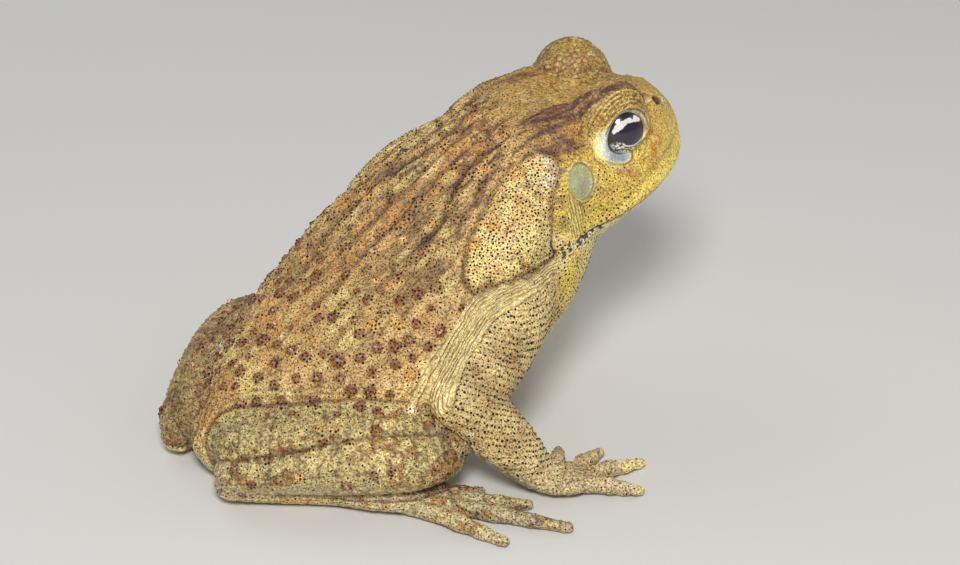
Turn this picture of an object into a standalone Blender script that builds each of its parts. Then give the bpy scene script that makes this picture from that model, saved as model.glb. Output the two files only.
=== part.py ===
"""A cane toad, Rhinella marina, sitting up on its rump and hands: a still model at life size.

Shapes are set out in millimetres in the toad's own frame: forward along the back, towards
the toad's left, and up from the floor. place() turns them into metres, with the toad facing -Y
and its left side towards +X. The whole form is fused from lofts, and then parted with thin cuts
into the parts that a person would name.
"""
import math
import random

import bmesh
import bpy
import numpy as np

MM = 0.001
GAP = 0.3
ORIGIN_FORWARD = 53.7
ORIGIN_LEFT = -2.8

VOXEL = 1.0
FORM_FACES = 7120
FLAT_ANGLE = math.radians(2)
SMOOTH_ROUNDS = 5

# Body: forward position against height or half width, from the rump to the neck.
BACK = [(-5, 9), (-3, 14), (0, 17.5), (5, 22), (10, 25.5), (20, 32), (31, 39), (42, 46.5),
        (55, 54.5), (68, 61.5), (79, 65), (88, 65)]
BELLY = [(-5, 5), (-3, 1.5), (0, -0.6), (20, -0.8), (40, -0.6), (50, 2), (60, 7), (68, 11),
         (75, 16), (82, 26), (88, 38)]
FLANK = [(-5, 3), (-3, 6.5), (0, 10), (5, 14.5), (10, 18), (20, 23.5), (31, 28), (42, 30.5),
         (55, 30), (68, 27.5), (79, 23), (88, 15)]
WIDEST = [(-5, 7), (0, 8), (20, 12), (42, 19), (55, 26), (68, 35), (79, 43), (88, 50)]
BODY_POWER = 2.25
BODY_RINGS = 34
NECK_BEND_START = 64.0

# Head: its own frame has the point between the eyes as origin and is turned to the toad's right.
HEAD_FORWARD = 95.0
HEAD_LEFT = -4.5
HEAD_UP = 63.5
HEAD_YAW = math.radians(-15)
CROWN = [(-28, -4), (-20, 1), (-12, 2.8), (0, 3.0), (5, 2.6), (8, 1.9), (11, 1.0), (14, -0.4),
         (17, -3.6), (19.4, -8.5)]
CROWN_EDGE = [(-28, 0.8), (0, 0.8), (4, 1.8), (8, 3.0), (12, 2.4), (16, 1.2), (19.4, 0.8)]
CROWN_HALF = [(-28, 15), (-12, 13), (0, 10.5), (8, 8.6), (13, 6.6), (16.5, 4.4), (19.4, 2.2)]
CHEEK_HALF = [(-28, 23), (-16, 24.5), (-8, 24.2), (0, 22), (6, 19), (10, 16.2), (14, 12.4),
              (17, 8.2), (19.4, 3.4)]
MOUTH_HIGH = [(-28, -22), (-14, -19.3), (0, -17), (20, -13)]
JAW_LOW = [(-28, -38), (-18, -36), (-8, -32.5), (0, -29), (6, -25.5), (12, -21.5), (16, -18.5),
           (20, -15.5)]
JAW_TUCK = [(-28, 0.98), (-18, 0.95), (-10, 0.86), (0, 0.8), (20, 0.72)]
MOUTH_SLOPE = 0.2
MOUTH_BASE = -17.0
MOUTH_CORNER = -14.5
HEAD_RINGS = 30

# Cuts that part the head from the trunk and the jaw from the head, in the head frame.
HINGE_BACK = 1.8
HINGE_DROP = 2.0
NECK_TOP = (-23, 30)
HEAD_FRONT = 60
JAW_FRONT = 40
JAW_BOTTOM = -42
JAW_BACK = -4

EYE_CENTRE = (0.5, 11.0, -1.4)
EYE_RADIUS = 6.8
BROW_CENTRE = (-0.9, 11.0, 0.3)
BROW_RADII = (8.6, 7.7, 8.3)
EYE_FACETS = (20, 12)
EYE_LOOK = (0.20, 0.96, 0.05)
OPENING_LONG = 5.6
OPENING_HIGH = 5.0
LID = 1.0
LID_RIM = 0.5
LID_BLEND = 3.2
SOCKET_DEEP = 1.6

EAR_CENTRE = (-11.7, 21.2, -8.5)
EAR_OUT = (-0.05, 0.88, 0.47)
EAR_LONG = 3.4
EAR_WIDE = 2.8
EAR_DEEP = 1.6
EAR_RIM_HIGH = 0.5

# Bony crest over each eye, lip along the mouth, and the trough between the eyes.
CREST = [(14.5, 4.8, -1.6), (10.5, 6.6, -0.3), (6, 8.2, 1.4), (2, 8.8, 3.4), (-5, 9.4, 3.8),
         (-10, 11.5, 2.2), (-13, 15.5, -0.4)]
CREST_HIGH = 0.9
CREST_WIDE = 2.4
LIP_HIGH = 0.5
LIP_WIDE = 1.6
TROUGH_DEEP = 0.7
TROUGH_HALF = 6.0
TROUGH_LONG = 14.0

NOSTRIL = (12.9, 5.5, -1.0)
NOSTRIL_RADIUS = 0.75
NOSTRIL_DEEP = 1.4
NOSTRIL_LOOK = (0.25, 0.75, 0.6)

# Limbs: forward, left, up, half width, half height for the left side; the right mirrors it.
LEFT_ARM_AHEAD = 4.0
LEFT_ARM_IN = 3.5
UPPER_ARM = [(65, 19, 36, 9, 11), (58, 24.5, 30.5, 8.6, 10.5), (48, 30, 24.5, 8, 8.8),
             (40, 33, 20, 7.2, 7.2)]
FOREARM = [(39.5, 33.5, 19.5, 7, 7), (43, 37, 15, 6.8, 6.6), (47, 41, 10, 6.2, 5.8),
           (50.5, 44, 5, 5.2, 4.2), (52.5, 45.5, 3.4, 4.8, 3.4)]
THIGH = [(3, 8.5, 9.5, 8.5, 7.5), (10, 15, 10.5, 8.6, 8.2), (19, 21.5, 10.8, 8.4, 8.6),
         (27, 27, 10.4, 7.8, 8.2), (32.5, 31, 9.4, 7.2, 7.6)]
SHANK = [(33, 33, 9.8, 6.8, 6.2), (26, 32.5, 10.2, 7.3, 6.3), (17, 27.2, 10.1, 7.2, 6.3),
         (6.5, 19.3, 8.8, 6.1, 5.5), (-1, 13, 7.2, 5, 4.8), (-2.8, 11.4, 6.6, 4.6, 4.4)]
TARSUS = [(-3.6, 11, 4.0, 4.0, 3.4), (4, 16, 3.0, 4.2, 3.0), (14, 23.2, 2.6, 4.6, 2.8),
          (20, 29, 2.4, 5.4, 2.5), (25, 34, 2.3, 5.2, 2.2)]
INSTEP_HIGH = 4.1

PALM = [(51, 44.2, 3.8, 4.6, 3.2), (53.5, 46.4, 2.9, 5.4, 2.9), (57, 48.6, 2.4, 5.4, 2.3)]
FINGERS = [(55, 45, -48, 10.5), (57.5, 46.8, -20, 12), (59, 49, 8, 14.5), (58, 51.6, 40, 11.5)]
FINGER_THICK = 2.0
TOES = [(24, 31.5, 12, 9), (26, 33.5, 26, 15), (27.5, 36, 38, 22), (27.5, 38, 50, 30),
        (25, 39, 66, 20)]
TOE_THICK = 2.0
LEFT_FOOT_TURN = -20.0
# Along a digit: share of its length, then height, half width and half height by its thickness.
DIGIT_ROOT = 3.0
DIGIT = [(0.33, 1.05, 0.92, 1.0), (0.5, 1.0, 1.08, 1.02), (0.75, 0.72, 0.72, 0.72),
         (1.0, 0.6, 0.72, 0.65)]

GLAND = [(75, 16.2, 51.6, 5.6, 5.4), (70, 17.6, 50.0, 8.4, 6.4), (63, 19.6, 46.6, 8.8, 6.8),
         (56, 22.3, 41.2, 6.6, 5.6)]
GLAND_ROLL = 38.0
LEFT_GLAND_OUT = 2.2
LEFT_GLAND_DROP = 3.6

# How far the region of each part reaches past its own form.
MARGIN = {"parotoid_gland": 0.9, "forearm": 1.6, "upper_arm": 1.4, "shank": 1.2, "thigh": 1.2}
REGION = dict(sides=9, per_span=1, ends=(50,))
GLAND_REGION = dict(sides=14, per_span=2, ends=(65, 30))
FLOOR_WIDE = 400.0
FLOOR_DEEP = 40.0

# Web between the hind toes: how far along each toe it reaches, and between two toes.
WEB_TOE = 0.42
WEB_MIDDLE = 0.30
WEB_LOW = 0.7
WEB_HIGH = 1.8

# Warts raised in the skin: spacing, radius and height, each varied a little from wart to wart.
WART_SEED = 7
WART_APART = 7.0
WART_RADIUS = (1.9, 2.5)
WART_HEIGHT = (0.65, 1.0)
WART_LIMB_APART = 6.0
WART_LIMB_SHARE = 0.8


def curve(points, at):
    """Smooth curve through (x, y) points that never swings past them, read at the given places."""
    xs, ys = np.array(points, float).T
    slope = np.diff(ys) / np.diff(xs)
    bend = np.zeros_like(xs)
    rising = slope[:-1] * slope[1:] > 0
    both = slope[:-1] + slope[1:]
    bend[1:-1][rising] = 2 * slope[:-1][rising] * slope[1:][rising] / both[rising]
    bend[0], bend[-1] = slope[0], slope[-1]
    at = np.clip(np.asarray(at, float), xs[0], xs[-1])
    span = np.clip(np.searchsorted(xs, at, "right") - 1, 0, len(xs) - 2)
    width = xs[span + 1] - xs[span]
    t = (at - xs[span]) / width
    return ((1 + 2 * t) * (1 - t) ** 2 * ys[span] + t * (1 - t) ** 2 * width * bend[span]
            + t * t * (3 - 2 * t) * ys[span + 1] + t * t * (t - 1) * width * bend[span + 1])


def smooth_rows(rows, per_span):
    """Catmull-Rom curve through rows of numbers."""
    rows = np.array(rows, float)
    padded = np.vstack([2 * rows[0] - rows[1], rows, 2 * rows[-1] - rows[-2]])
    out = []
    for i in range(1, len(padded) - 2):
        a, b, c, d = padded[i - 1:i + 3]
        for t in np.arange(per_span) / per_span:
            out.append(0.5 * (2 * b + (c - a) * t + (2 * a - 5 * b + 4 * c - d) * t * t
                              + (3 * b - a - 3 * c + d) * t ** 3))
    out.append(padded[-2])
    return np.array(out)


def unit(v):
    v = np.asarray(v, float)
    return v / np.linalg.norm(v, axis=-1, keepdims=True)


def side_of(rows, side):
    """Rows that start with forward, left, up, mirrored for the toad's right side."""
    return [(f, side * left, *rest) for f, left, *rest in rows]


def arm_of(rows, side):
    """Arm rows of one side; the left arm stands a little further forward and closer in."""
    if side < 0:
        return side_of(rows, side)
    return [(f + LEFT_ARM_AHEAD, left - LEFT_ARM_IN, *rest) for f, left, *rest in rows]


def gland_of(side):
    """Parotoid gland rows; the left one is drawn flatter and lower where the neck bends away."""
    if side < 0:
        return side_of(GLAND, side)
    return [(f, left + LEFT_GLAND_OUT, up - LEFT_GLAND_DROP, wide, high)
            for f, left, up, wide, high in GLAND]


def place(points):
    """Toad frame in millimetres to the model's frame in metres."""
    p = np.atleast_2d(np.asarray(points, float))
    return np.stack([p[:, 1] - ORIGIN_LEFT, ORIGIN_FORWARD - p[:, 0], p[:, 2]], -1) * MM


def unplace(points):
    """The model's frame in metres to the toad frame in millimetres."""
    p = np.asarray(points, float) / MM
    return np.stack([ORIGIN_FORWARD - p[:, 1], p[:, 0] + ORIGIN_LEFT, p[:, 2]], -1)


def from_head(d, s, v):
    """Head frame (forward, left, up of the point between the eyes) to the toad frame."""
    d, s, v = np.broadcast_arrays(*(np.asarray(a, float) for a in (d, s, v)))
    cos, sin = math.cos(HEAD_YAW), math.sin(HEAD_YAW)
    return np.stack([HEAD_FORWARD + d * cos - s * sin, HEAD_LEFT + d * sin + s * cos, HEAD_UP + v], -1)


def to_head(points):
    p = np.asarray(points, float)
    f, left = p[..., 0] - HEAD_FORWARD, p[..., 1] - HEAD_LEFT
    cos, sin = math.cos(HEAD_YAW), math.sin(HEAD_YAW)
    return np.stack([f * cos + left * sin, left * cos - f * sin, p[..., 2] - HEAD_UP], -1)


def new_object(name, mesh):
    obj = bpy.data.objects.new(name, mesh)
    bpy.context.scene.collection.objects.link(obj)
    return obj


def loft(name, rings):
    """Closed body through rings of equal size, given in the toad frame."""
    bm = bmesh.new()
    rows = [[bm.verts.new(p) for p in place(ring)] for ring in rings]
    count = len(rows[0])
    for lower, upper in zip(rows, rows[1:]):
        for i in range(count):
            j = (i + 1) % count
            bm.faces.new((lower[i], lower[j], upper[j], upper[i]))
    bm.faces.new(rows[0][::-1])
    bm.faces.new(rows[-1])
    bmesh.ops.triangulate(bm, faces=[f for f in bm.faces if len(f.verts) > 4])
    bmesh.ops.recalc_face_normals(bm, faces=bm.faces)
    if bm.calc_volume(signed=True) < 0:
        bmesh.ops.reverse_faces(bm, faces=bm.faces)
    mesh = bpy.data.meshes.new(name)
    bm.to_mesh(mesh)
    bm.free()
    return new_object(name, mesh)


def limb(name, stations, sides=16, per_span=5, grow=0.0, roll=0.0, ends=(75, 50, 25)):
    """Closed tube with rounded ends through (forward, left, up, half width, half height)."""
    rows = smooth_rows(stations, per_span)
    rows[:, 3:] += grow
    along = unit(np.gradient(rows[:, :3], axis=0))
    angles = np.linspace(0, 2 * math.pi, sides, endpoint=False)
    rings = []

    def add(centre, direction, wide, high):
        across = unit(np.cross((0, 0, 1.0), direction))
        upward = np.cross(direction, across)
        turn = math.radians(roll)
        across, upward = (across * math.cos(turn) + upward * math.sin(turn),
                          upward * math.cos(turn) - across * math.sin(turn))
        rings.append(centre + np.outer(np.cos(angles) * wide, across)
                     + np.outer(np.sin(angles) * high, upward))

    ends = [math.radians(a) for a in ends]
    for a in ends:
        reach = 0.5 * (rows[0, 3] + rows[0, 4]) * math.sin(a)
        add(rows[0, :3] - along[0] * reach, along[0], *(rows[0, 3:] * math.cos(a)))
    for row, direction in zip(rows, along):
        add(row[:3], direction, row[3], row[4])
    for a in ends[::-1]:
        reach = 0.5 * (rows[-1, 3] + rows[-1, 4]) * math.sin(a)
        add(rows[-1, :3] + along[-1] * reach, along[-1], *(rows[-1, 3:] * math.cos(a)))
    return loft(name, rings)


def body_point(f, angle):
    """Point of the body's surface; the angle runs from its left side over the back."""
    cos, sin = np.cos(angle), np.sin(angle)
    shape = 2 / BODY_POWER
    middle = curve(WIDEST, f)
    top, low = curve(BACK, f) - middle, middle - curve(BELLY, f)
    left = curve(FLANK, f) * np.sign(cos) * np.abs(cos) ** shape
    up = middle + np.where(sin > 0, top, low) * np.sign(sin) * np.abs(sin) ** shape
    bend = np.maximum(0.0, f - NECK_BEND_START) * math.tan(HEAD_YAW) * 0.55
    return np.stack([f + 0 * left, left + bend, up], -1)


def body_form():
    """Rump, belly, back and shoulders as upright sections along the body."""
    angles = np.linspace(0, 2 * math.pi, 44, endpoint=False)
    reach = BACK[-1][0] - BACK[0][0]
    along = BACK[0][0] + reach * np.linspace(0, 1, BODY_RINGS) ** 1.15
    return loft("form_body", [body_point(np.full(44, f), angles) for f in along])


def head_form():
    """Skull, cheeks, jaw and throat as sections along the turned head."""
    rings = []
    start, end = CROWN[0][0], CROWN[-1][0]
    for t in np.linspace(0, 1, HEAD_RINGS):
        d = start + (end - start) * (1 - (1 - t) ** 1.5)
        crown, crown_half = curve(CROWN, d), curve(CROWN_HALF, d)
        cheek, mouth, low = curve(CHEEK_HALF, d), curve(MOUTH_HIGH, d), curve(JAW_LOW, d)
        tuck, edge = curve(JAW_TUCK, d), curve(CROWN_EDGE, d)
        half = [(0, crown), (crown_half * 0.6, crown + 0.4 - 0.4 * edge), (crown_half, crown - edge),
                (crown_half + (cheek - crown_half) * 0.55, crown + (mouth - crown) * 0.38),
                (cheek * 0.97, crown + (mouth - crown) * 0.78), (cheek, mouth),
                (cheek * tuck, mouth + (low - mouth) * 0.30),
                (cheek * tuck * 0.68, mouth + (low - mouth) * 0.78), (cheek * 0.25, low)]
        outline = half + [(-s, v) for s, v in half[:0:-1]]
        closed = np.array(outline + outline[:3])
        smooth = smooth_rows(np.vstack([outline[-1:], closed]), 3)[3:-6]
        rings.append(from_head(np.full(len(smooth), d), smooth[:, 0], smooth[:, 1]))
    return loft("form_head", rings)


def ball(name, centre, radii, segments=24, rings=14):
    """Closed ellipsoid, its axes along forward, left and up of the head frame."""
    bm = bmesh.new()
    bmesh.ops.create_uvsphere(bm, u_segments=segments, v_segments=rings, radius=1.0)
    points = np.array([v.co[:] for v in bm.verts]) * radii + centre
    for vert, p in zip(bm.verts, place(from_head(points[:, 0], points[:, 1], points[:, 2]))):
        vert.co = p
    bmesh.ops.recalc_face_normals(bm, faces=bm.faces)
    mesh = bpy.data.meshes.new(name)
    bm.to_mesh(mesh)
    bm.free()
    return new_object(name, mesh)


def remove(objects):
    for obj in objects:
        mesh = obj.data
        bpy.data.objects.remove(obj)
        bpy.data.meshes.remove(mesh)


def evaluated(obj):
    """Apply an object's modifiers, in place."""
    depsgraph = bpy.context.evaluated_depsgraph_get()
    mesh = bpy.data.meshes.new_from_object(obj.evaluated_get(depsgraph))
    obj.modifiers.clear()
    old = obj.data
    obj.data = mesh
    bpy.data.meshes.remove(old)
    return obj


def joined(name, objects):
    bm = bmesh.new()
    for obj in objects:
        bm.from_mesh(obj.data)
    mesh = bpy.data.meshes.new(name)
    bm.to_mesh(mesh)
    bm.free()
    remove(objects)
    return new_object(name, mesh)


def fuse(name, objects, voxel, smooth):
    """One skin round overlapping closed bodies, its creases softened."""
    obj = joined(name, objects)
    remesh = obj.modifiers.new("Remesh", "REMESH")
    remesh.mode = "VOXEL"
    remesh.voxel_size = voxel * MM
    soften = obj.modifiers.new("Smooth", "SMOOTH")
    soften.factor = 0.5
    soften.iterations = smooth
    return evaluated(obj)


def read_mesh(mesh):
    points = np.empty(len(mesh.vertices) * 3)
    mesh.vertices.foreach_get("co", points)
    normals = np.empty(len(mesh.vertices) * 3)
    mesh.vertex_normals.foreach_get("vector", normals)
    normals = normals.reshape(-1, 3)
    return unplace(points.reshape(-1, 3)), np.stack([-normals[:, 1], normals[:, 0], normals[:, 2]], -1)


def write_mesh(mesh, points):
    mesh.vertices.foreach_set("co", place(points).ravel())
    mesh.update()


def ease(x):
    """0 at or below 0, 1 at or above 1, smooth between."""
    x = np.clip(x, 0, 1)
    return x * x * (3 - 2 * x)


def bump(x):
    """1 at 0, falling smoothly to 0 at 1 and beyond."""
    return 1 - ease(np.abs(x))


def near_line(points, line):
    """Distance of each point from a line through rows of points."""
    line = np.asarray(line, float)
    best = np.full(len(points), np.inf)
    for a, b in zip(line, line[1:]):
        t = np.clip((points - a) @ (b - a) / ((b - a) @ (b - a)), 0, 1)
        best = np.minimum(best, np.linalg.norm(points - a - t[:, None] * (b - a), axis=1))
    return best


def lids(points):
    """Shape the skin round each eyeball: lids just outside it, and an opening the ball fills."""
    for side in (1, -1):
        head = to_head(points)
        centre = np.array(EYE_CENTRE) * (1, side, 1)
        look = unit(np.array(EYE_LOOK) * (1, side, 1))
        along = unit(np.cross((0, 0, 1.0), look)) * -side
        upward = np.cross(look, along) * -side
        away = head - centre
        distance = np.linalg.norm(away, axis=1)
        direction = away / np.maximum(distance, 1e-6)[:, None]
        x, y = direction @ along * EYE_RADIUS, direction @ upward * EYE_RADIUS
        facing = direction @ look
        reach = np.sqrt((x / OPENING_LONG) ** 2 + (y / OPENING_HIGH) ** 2)
        reach = np.where(facing > 0, reach, 2.5)
        outside = ease((reach - 0.92) / 0.16)
        rim = bump((reach - 1.16) / 0.22)
        wanted = EYE_RADIUS + (LID + LID_RIM * rim) * outside - SOCKET_DEEP * (1 - outside)
        share = bump((distance - EYE_RADIUS - LID) / LID_BLEND) * ease((facing + 0.1) / 0.3)
        share = np.where((reach < 1.0) & (distance > EYE_RADIUS - 4), 1.0, share)
        share = np.where(distance < EYE_RADIUS - 3.5, 0.0, share)
        moved = centre + direction * (distance + (wanted - distance) * share)[:, None]
        keep = head * (1 - share[:, None]) + moved * share[:, None]
        points = from_head(keep[:, 0], keep[:, 1], keep[:, 2])
    return points


def head_relief(points):
    """Crests, lips and ear rim of the head."""
    head = to_head(points)
    lift = np.zeros(len(points))
    for side in (1, -1):
        own = head * (1, side, 1)
        lift += CREST_HIGH * bump(near_line(own, smooth_rows(CREST, 4)) / CREST_WIDE)
        ear = np.stack([own[:, 0] - EAR_CENTRE[0], own[:, 2] - EAR_CENTRE[2]], -1)
        reach = np.hypot(ear[:, 0] / EAR_WIDE, ear[:, 1] / EAR_LONG)
        outer = own[:, 1] > BROW_CENTRE[1]
        lift += EAR_RIM_HIGH * bump((reach - 1.35) / 0.4) * outer
    mouth = head[:, 2] - (MOUTH_BASE + MOUTH_SLOPE * head[:, 0])
    front = ease((head[:, 0] - MOUTH_CORNER) / 4)
    lift += front * LIP_HIGH * bump((mouth - LIP_WIDE) / LIP_WIDE)
    trough = np.hypot(head[:, 1] / TROUGH_HALF, head[:, 0] / TROUGH_LONG)
    lift -= TROUGH_DEEP * bump(trough) * (head[:, 2] > -EYE_RADIUS)
    return lift


def limb_point(rows, t, angle):
    """Point of a limb's surface, t from 0 to 1 along it; the angle runs round it from above."""
    line = smooth_rows(rows, 8)
    place_on = t * (len(line) - 1)
    row = [np.interp(place_on, np.arange(len(line)), line[:, i]) for i in range(5)]
    ahead = unit(line[min(int(place_on) + 1, len(line) - 1), :3] - line[max(int(place_on) - 1, 0), :3])
    across = unit(np.cross((0, 0, 1.0), ahead))
    upward = np.cross(ahead, across)
    return np.array(row[:3]) + across * math.sin(angle) * row[3] + upward * math.cos(angle) * row[4]


def spread(draw, apart, wanted, kept):
    """Points from draw(), each at least its own distance away from those already kept."""
    points = []
    for _ in range(wanted):
        point = draw()
        if all(np.linalg.norm(point - other) > apart for other in kept + points):
            points.append(point)
    return points


def wart_sites():
    """Places of the large warts on the back, flanks, arms and legs, with radius and height."""
    rng = random.Random(WART_SEED)
    glands = [np.array(row[:3]) for side in (1, -1) for row in gland_of(side)]

    def on_back():
        while True:
            point = body_point(rng.uniform(2, 72), math.radians(rng.uniform(-12, 192)))
            clear = min(np.linalg.norm(point - gland) for gland in glands) > 12
            middle = abs(point[1]) < 2.0 and point[2] > 30
            if clear and not middle:
                return point

    kept = spread(on_back, WART_APART, 900, [])
    sizes = [1.0] * len(kept)
    for side in (1, -1):
        limbs = ((side_of(THIGH, side), 0.15, 0.95), (side_of(SHANK, side), 0.05, 0.95),
                 (arm_of(UPPER_ARM, side), 0.3, 1.0), (arm_of(FOREARM, side), 0.0, 0.8))
        for rows, start, end in limbs:
            more = spread(lambda: limb_point(rows, rng.uniform(start, end), rng.uniform(-1.8, 1.8)),
                          WART_LIMB_APART, 60, kept)
            kept += more
            sizes += [WART_LIMB_SHARE] * len(more)
    sites = [(point, size * rng.uniform(*WART_RADIUS), size * rng.uniform(*WART_HEIGHT))
             for point, size in zip(kept, sizes)]
    return sites


def wart_relief(points):
    """Lift of the skin by the large warts: low domes with a soft foot."""
    lift = np.zeros(len(points))
    for centre, radius, height in wart_sites():
        near = np.linalg.norm(points - centre, axis=1) < radius * 2.5
        offset = points[near] - centre
        flat = np.linalg.norm(offset, axis=1) / (radius * 1.25)
        lift[near] = np.maximum(lift[near], height * bump(flat) ** 0.8)
    return lift


def whole_form(voxel, smooth):
    """The toad from snout to rump, without hands, feet and eyeballs, as one closed skin."""
    shapes = [body_form(), head_form()]
    for side in (1, -1):
        shapes.append(ball("form_brow", np.array(BROW_CENTRE) * (1, side, 1), BROW_RADII))
        for rows in (arm_of(UPPER_ARM, side), arm_of(FOREARM, side), side_of(THIGH, side),
                     side_of(SHANK, side)):
            shapes.append(limb("form_limb", rows))
        shapes.append(limb("form_gland", gland_of(side), roll=GLAND_ROLL * side))
    form = fuse("form", shapes, voxel, smooth)
    points, normals = read_mesh(form.data)
    lift = head_relief(points) + wart_relief(points)
    points = points + normals * lift[:, None]
    write_mesh(form.data, lids(points))
    return form


def boolean(obj, other, operation, solver="EXACT"):
    cut = obj.modifiers.new("Cut", "BOOLEAN")
    cut.operation = operation
    cut.solver = solver
    cut.object = other
    other.hide_render = True
    other.display_type = "WIRE"
    return evaluated(obj)


def largest(obj):
    """Keep only the largest closed surface, and no loose point or edge."""
    bm = bmesh.new()
    bm.from_mesh(obj.data)
    bmesh.ops.dissolve_degenerate(bm, dist=1e-6, edges=bm.edges)
    left = set(bm.faces)
    best, best_size = set(), -1.0
    while left:
        seed = left.pop()
        shell, border = {seed}, [seed]
        while border:
            face = border.pop()
            for edge in face.edges:
                for other in edge.link_faces:
                    if other in left:
                        left.discard(other)
                        shell.add(other)
                        border.append(other)
        corners = np.array([v.co[:] for face in shell for v in face.verts])
        size = float(np.prod(np.ptp(corners, axis=0) + MM))
        if size > best_size:
            best, best_size = shell, size
    bmesh.ops.delete(bm, geom=[f for f in bm.faces if f not in best], context="FACES")
    bmesh.ops.dissolve_limit(bm, angle_limit=FLAT_ANGLE, verts=bm.verts, edges=bm.edges)
    bmesh.ops.triangulate(bm, faces=bm.faces)
    bm.to_mesh(obj.data)
    bm.free()
    return obj


def copy_of(obj, name):
    return new_object(name, obj.data.copy())


def peel(rest, name, region, grown):
    """Take one named part out of the whole: what lies in region; the rest keeps a thin gap to it."""
    part = boolean(copy_of(rest, name), region, "INTERSECT")
    boolean(rest, grown, "DIFFERENCE")
    remove([region, grown])
    largest(rest)
    return largest(part)


def slab(name, outline, grow, half=60.0):
    """Prism across the head: a convex outline of (forward, up) in the head frame, grown evenly."""
    outline = np.array(outline, float)
    step = unit(np.roll(outline, -1, axis=0) - outline)
    outward = np.stack([step[:, 1], -step[:, 0]], -1)
    corners = []
    for i in range(len(outline)):
        a, b = outward[i - 1], outward[i]
        corners.append(outline[i] + (a + b) * grow / (1 + a @ b))
    corners = np.array(corners)
    rings = [from_head(corners[:, 0], s, corners[:, 1]) for s in (-half, half)]
    return loft(name, rings)


def disc(name, centre, look, wide, high, back, front, sides=20):
    """Short elliptical drum in the head frame, its axis along look."""
    look = unit(look)
    across = unit(np.cross((0, 0, 1.0), look))
    upward = np.cross(look, across)
    angles = np.linspace(0, 2 * math.pi, sides, endpoint=False)
    rings = []
    for reach in (-back, front):
        p = (np.array(centre) + look * reach + np.outer(np.cos(angles) * wide, across)
             + np.outer(np.sin(angles) * high, upward))
        rings.append(from_head(p[:, 0], p[:, 1], p[:, 2]))
    return loft(name, rings)


def floor_block():
    """Everything below the level that the toad rests on."""
    bm = bmesh.new()
    bmesh.ops.create_cube(bm, size=1.0)
    for vert in bm.verts:
        vert.co.x *= FLOOR_WIDE * MM
        vert.co.y *= FLOOR_WIDE * MM
        vert.co.z = (vert.co.z - 0.5) * FLOOR_DEEP * MM
    mesh = bpy.data.meshes.new("floor_block")
    bm.to_mesh(mesh)
    bm.free()
    return new_object("floor_block", mesh)


def union(name, shapes):
    """One closed body from overlapping closed ones."""
    base = shapes[0]
    base.name = name
    group = bpy.data.collections.new("pieces")
    bpy.context.scene.collection.children.link(group)
    for shape in shapes[1:]:
        bpy.context.scene.collection.objects.unlink(shape)
        group.objects.link(shape)
    fusion = base.modifiers.new("Union", "BOOLEAN")
    fusion.operation = "UNION"
    fusion.solver = "EXACT"
    fusion.operand_type = "COLLECTION"
    fusion.collection = group
    evaluated(base)
    remove(shapes[1:])
    bpy.data.collections.remove(group)
    return largest(base)


def web(mirrored, side, rows, swing):
    """Thin plate of skin between the toes, scalloped from toe to toe."""
    edge = []
    for i, (f, left, angle, length) in enumerate(rows):
        turn = math.radians(angle + swing)
        reach = length * WEB_TOE
        edge.append((f + math.cos(turn) * reach, left + math.sin(turn) * reach))
        if i + 1 < len(rows):
            f2, left2, angle2, length2 = rows[i + 1]
            middle = math.radians((angle + angle2) / 2 + swing)
            reach = (length + length2) / 2 * WEB_MIDDLE
            edge.append(((f + f2) / 2 + math.cos(middle) * reach,
                         (left + left2) / 2 + math.sin(middle) * reach))
    edge += [(rows[-1][0] - 3, rows[-1][1] - 2), (rows[0][0] - 3, rows[0][1] - 2)]
    rings = [mirrored([(f, left, up) for f, left in edge], side) for up in (WEB_LOW, WEB_HIGH)]
    return loft("web", [np.array(ring) for ring in rings])


def instep(side):
    """The low space under the shank that the toes pass through."""
    outline = [(18, 25), (21, 46), (46, 46), (46, 27), (30, 24)]
    rings = [side_of([(f, left, up) for f, left in outline], side) for up in (-5.0, INSTEP_HIGH)]
    return loft("instep", [np.array(ring) for ring in rings])


def digits(name, mirrored, side, base, rows, thick, swing=0.0):
    """Palm or sole fused with its tapering digits."""
    shapes = [limb("palm", mirrored(base, side), sides=8, per_span=2, ends=(55,))]
    if name == "foot":
        shapes.append(web(mirrored, side, rows, swing))
    for f, left, angle, length in rows:
        turn = math.radians(angle + swing)
        ahead, out = math.cos(turn), math.sin(turn)
        path = [(f - ahead * DIGIT_ROOT, left - out * DIGIT_ROOT, thick, thick, thick * 0.9)]
        for share, *sizes in DIGIT:
            reach = length * share
            path.append((f + ahead * reach, left + out * reach, *(size * thick for size in sizes)))
        shapes.append(limb("digit", mirrored(path, side), sides=6, per_span=1, ends=(50,)))
    return union(name, shapes)


def material(name, colour, roughness, metallic=0.0):
    made = bpy.data.materials.new(name)
    made.use_nodes = True
    shader = made.node_tree.nodes["Principled BSDF"]
    shader.inputs["Base Color"].default_value = (*colour, 1)
    shader.inputs["Roughness"].default_value = roughness
    shader.inputs["Metallic"].default_value = metallic
    return made


GOLDEN = (0.46, 0.30, 0.09)
YELLOW = (0.62, 0.42, 0.08)
CREAM = (0.60, 0.45, 0.22)
OLIVE = (0.36, 0.25, 0.08)
TAN = (0.45, 0.31, 0.13)
GREY_GREEN = (0.33, 0.31, 0.17)
EYE_DARK = (0.03, 0.025, 0.035)


def finish(obj, name, colour, roughness=0.55):
    obj.name = name
    obj.data.name = name
    obj.data.materials.clear()
    obj.data.materials.append(material(name, colour, roughness))
    obj.data.shade_smooth()
    obj.data.set_sharp_from_angle(angle=math.radians(35))
    return obj


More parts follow.
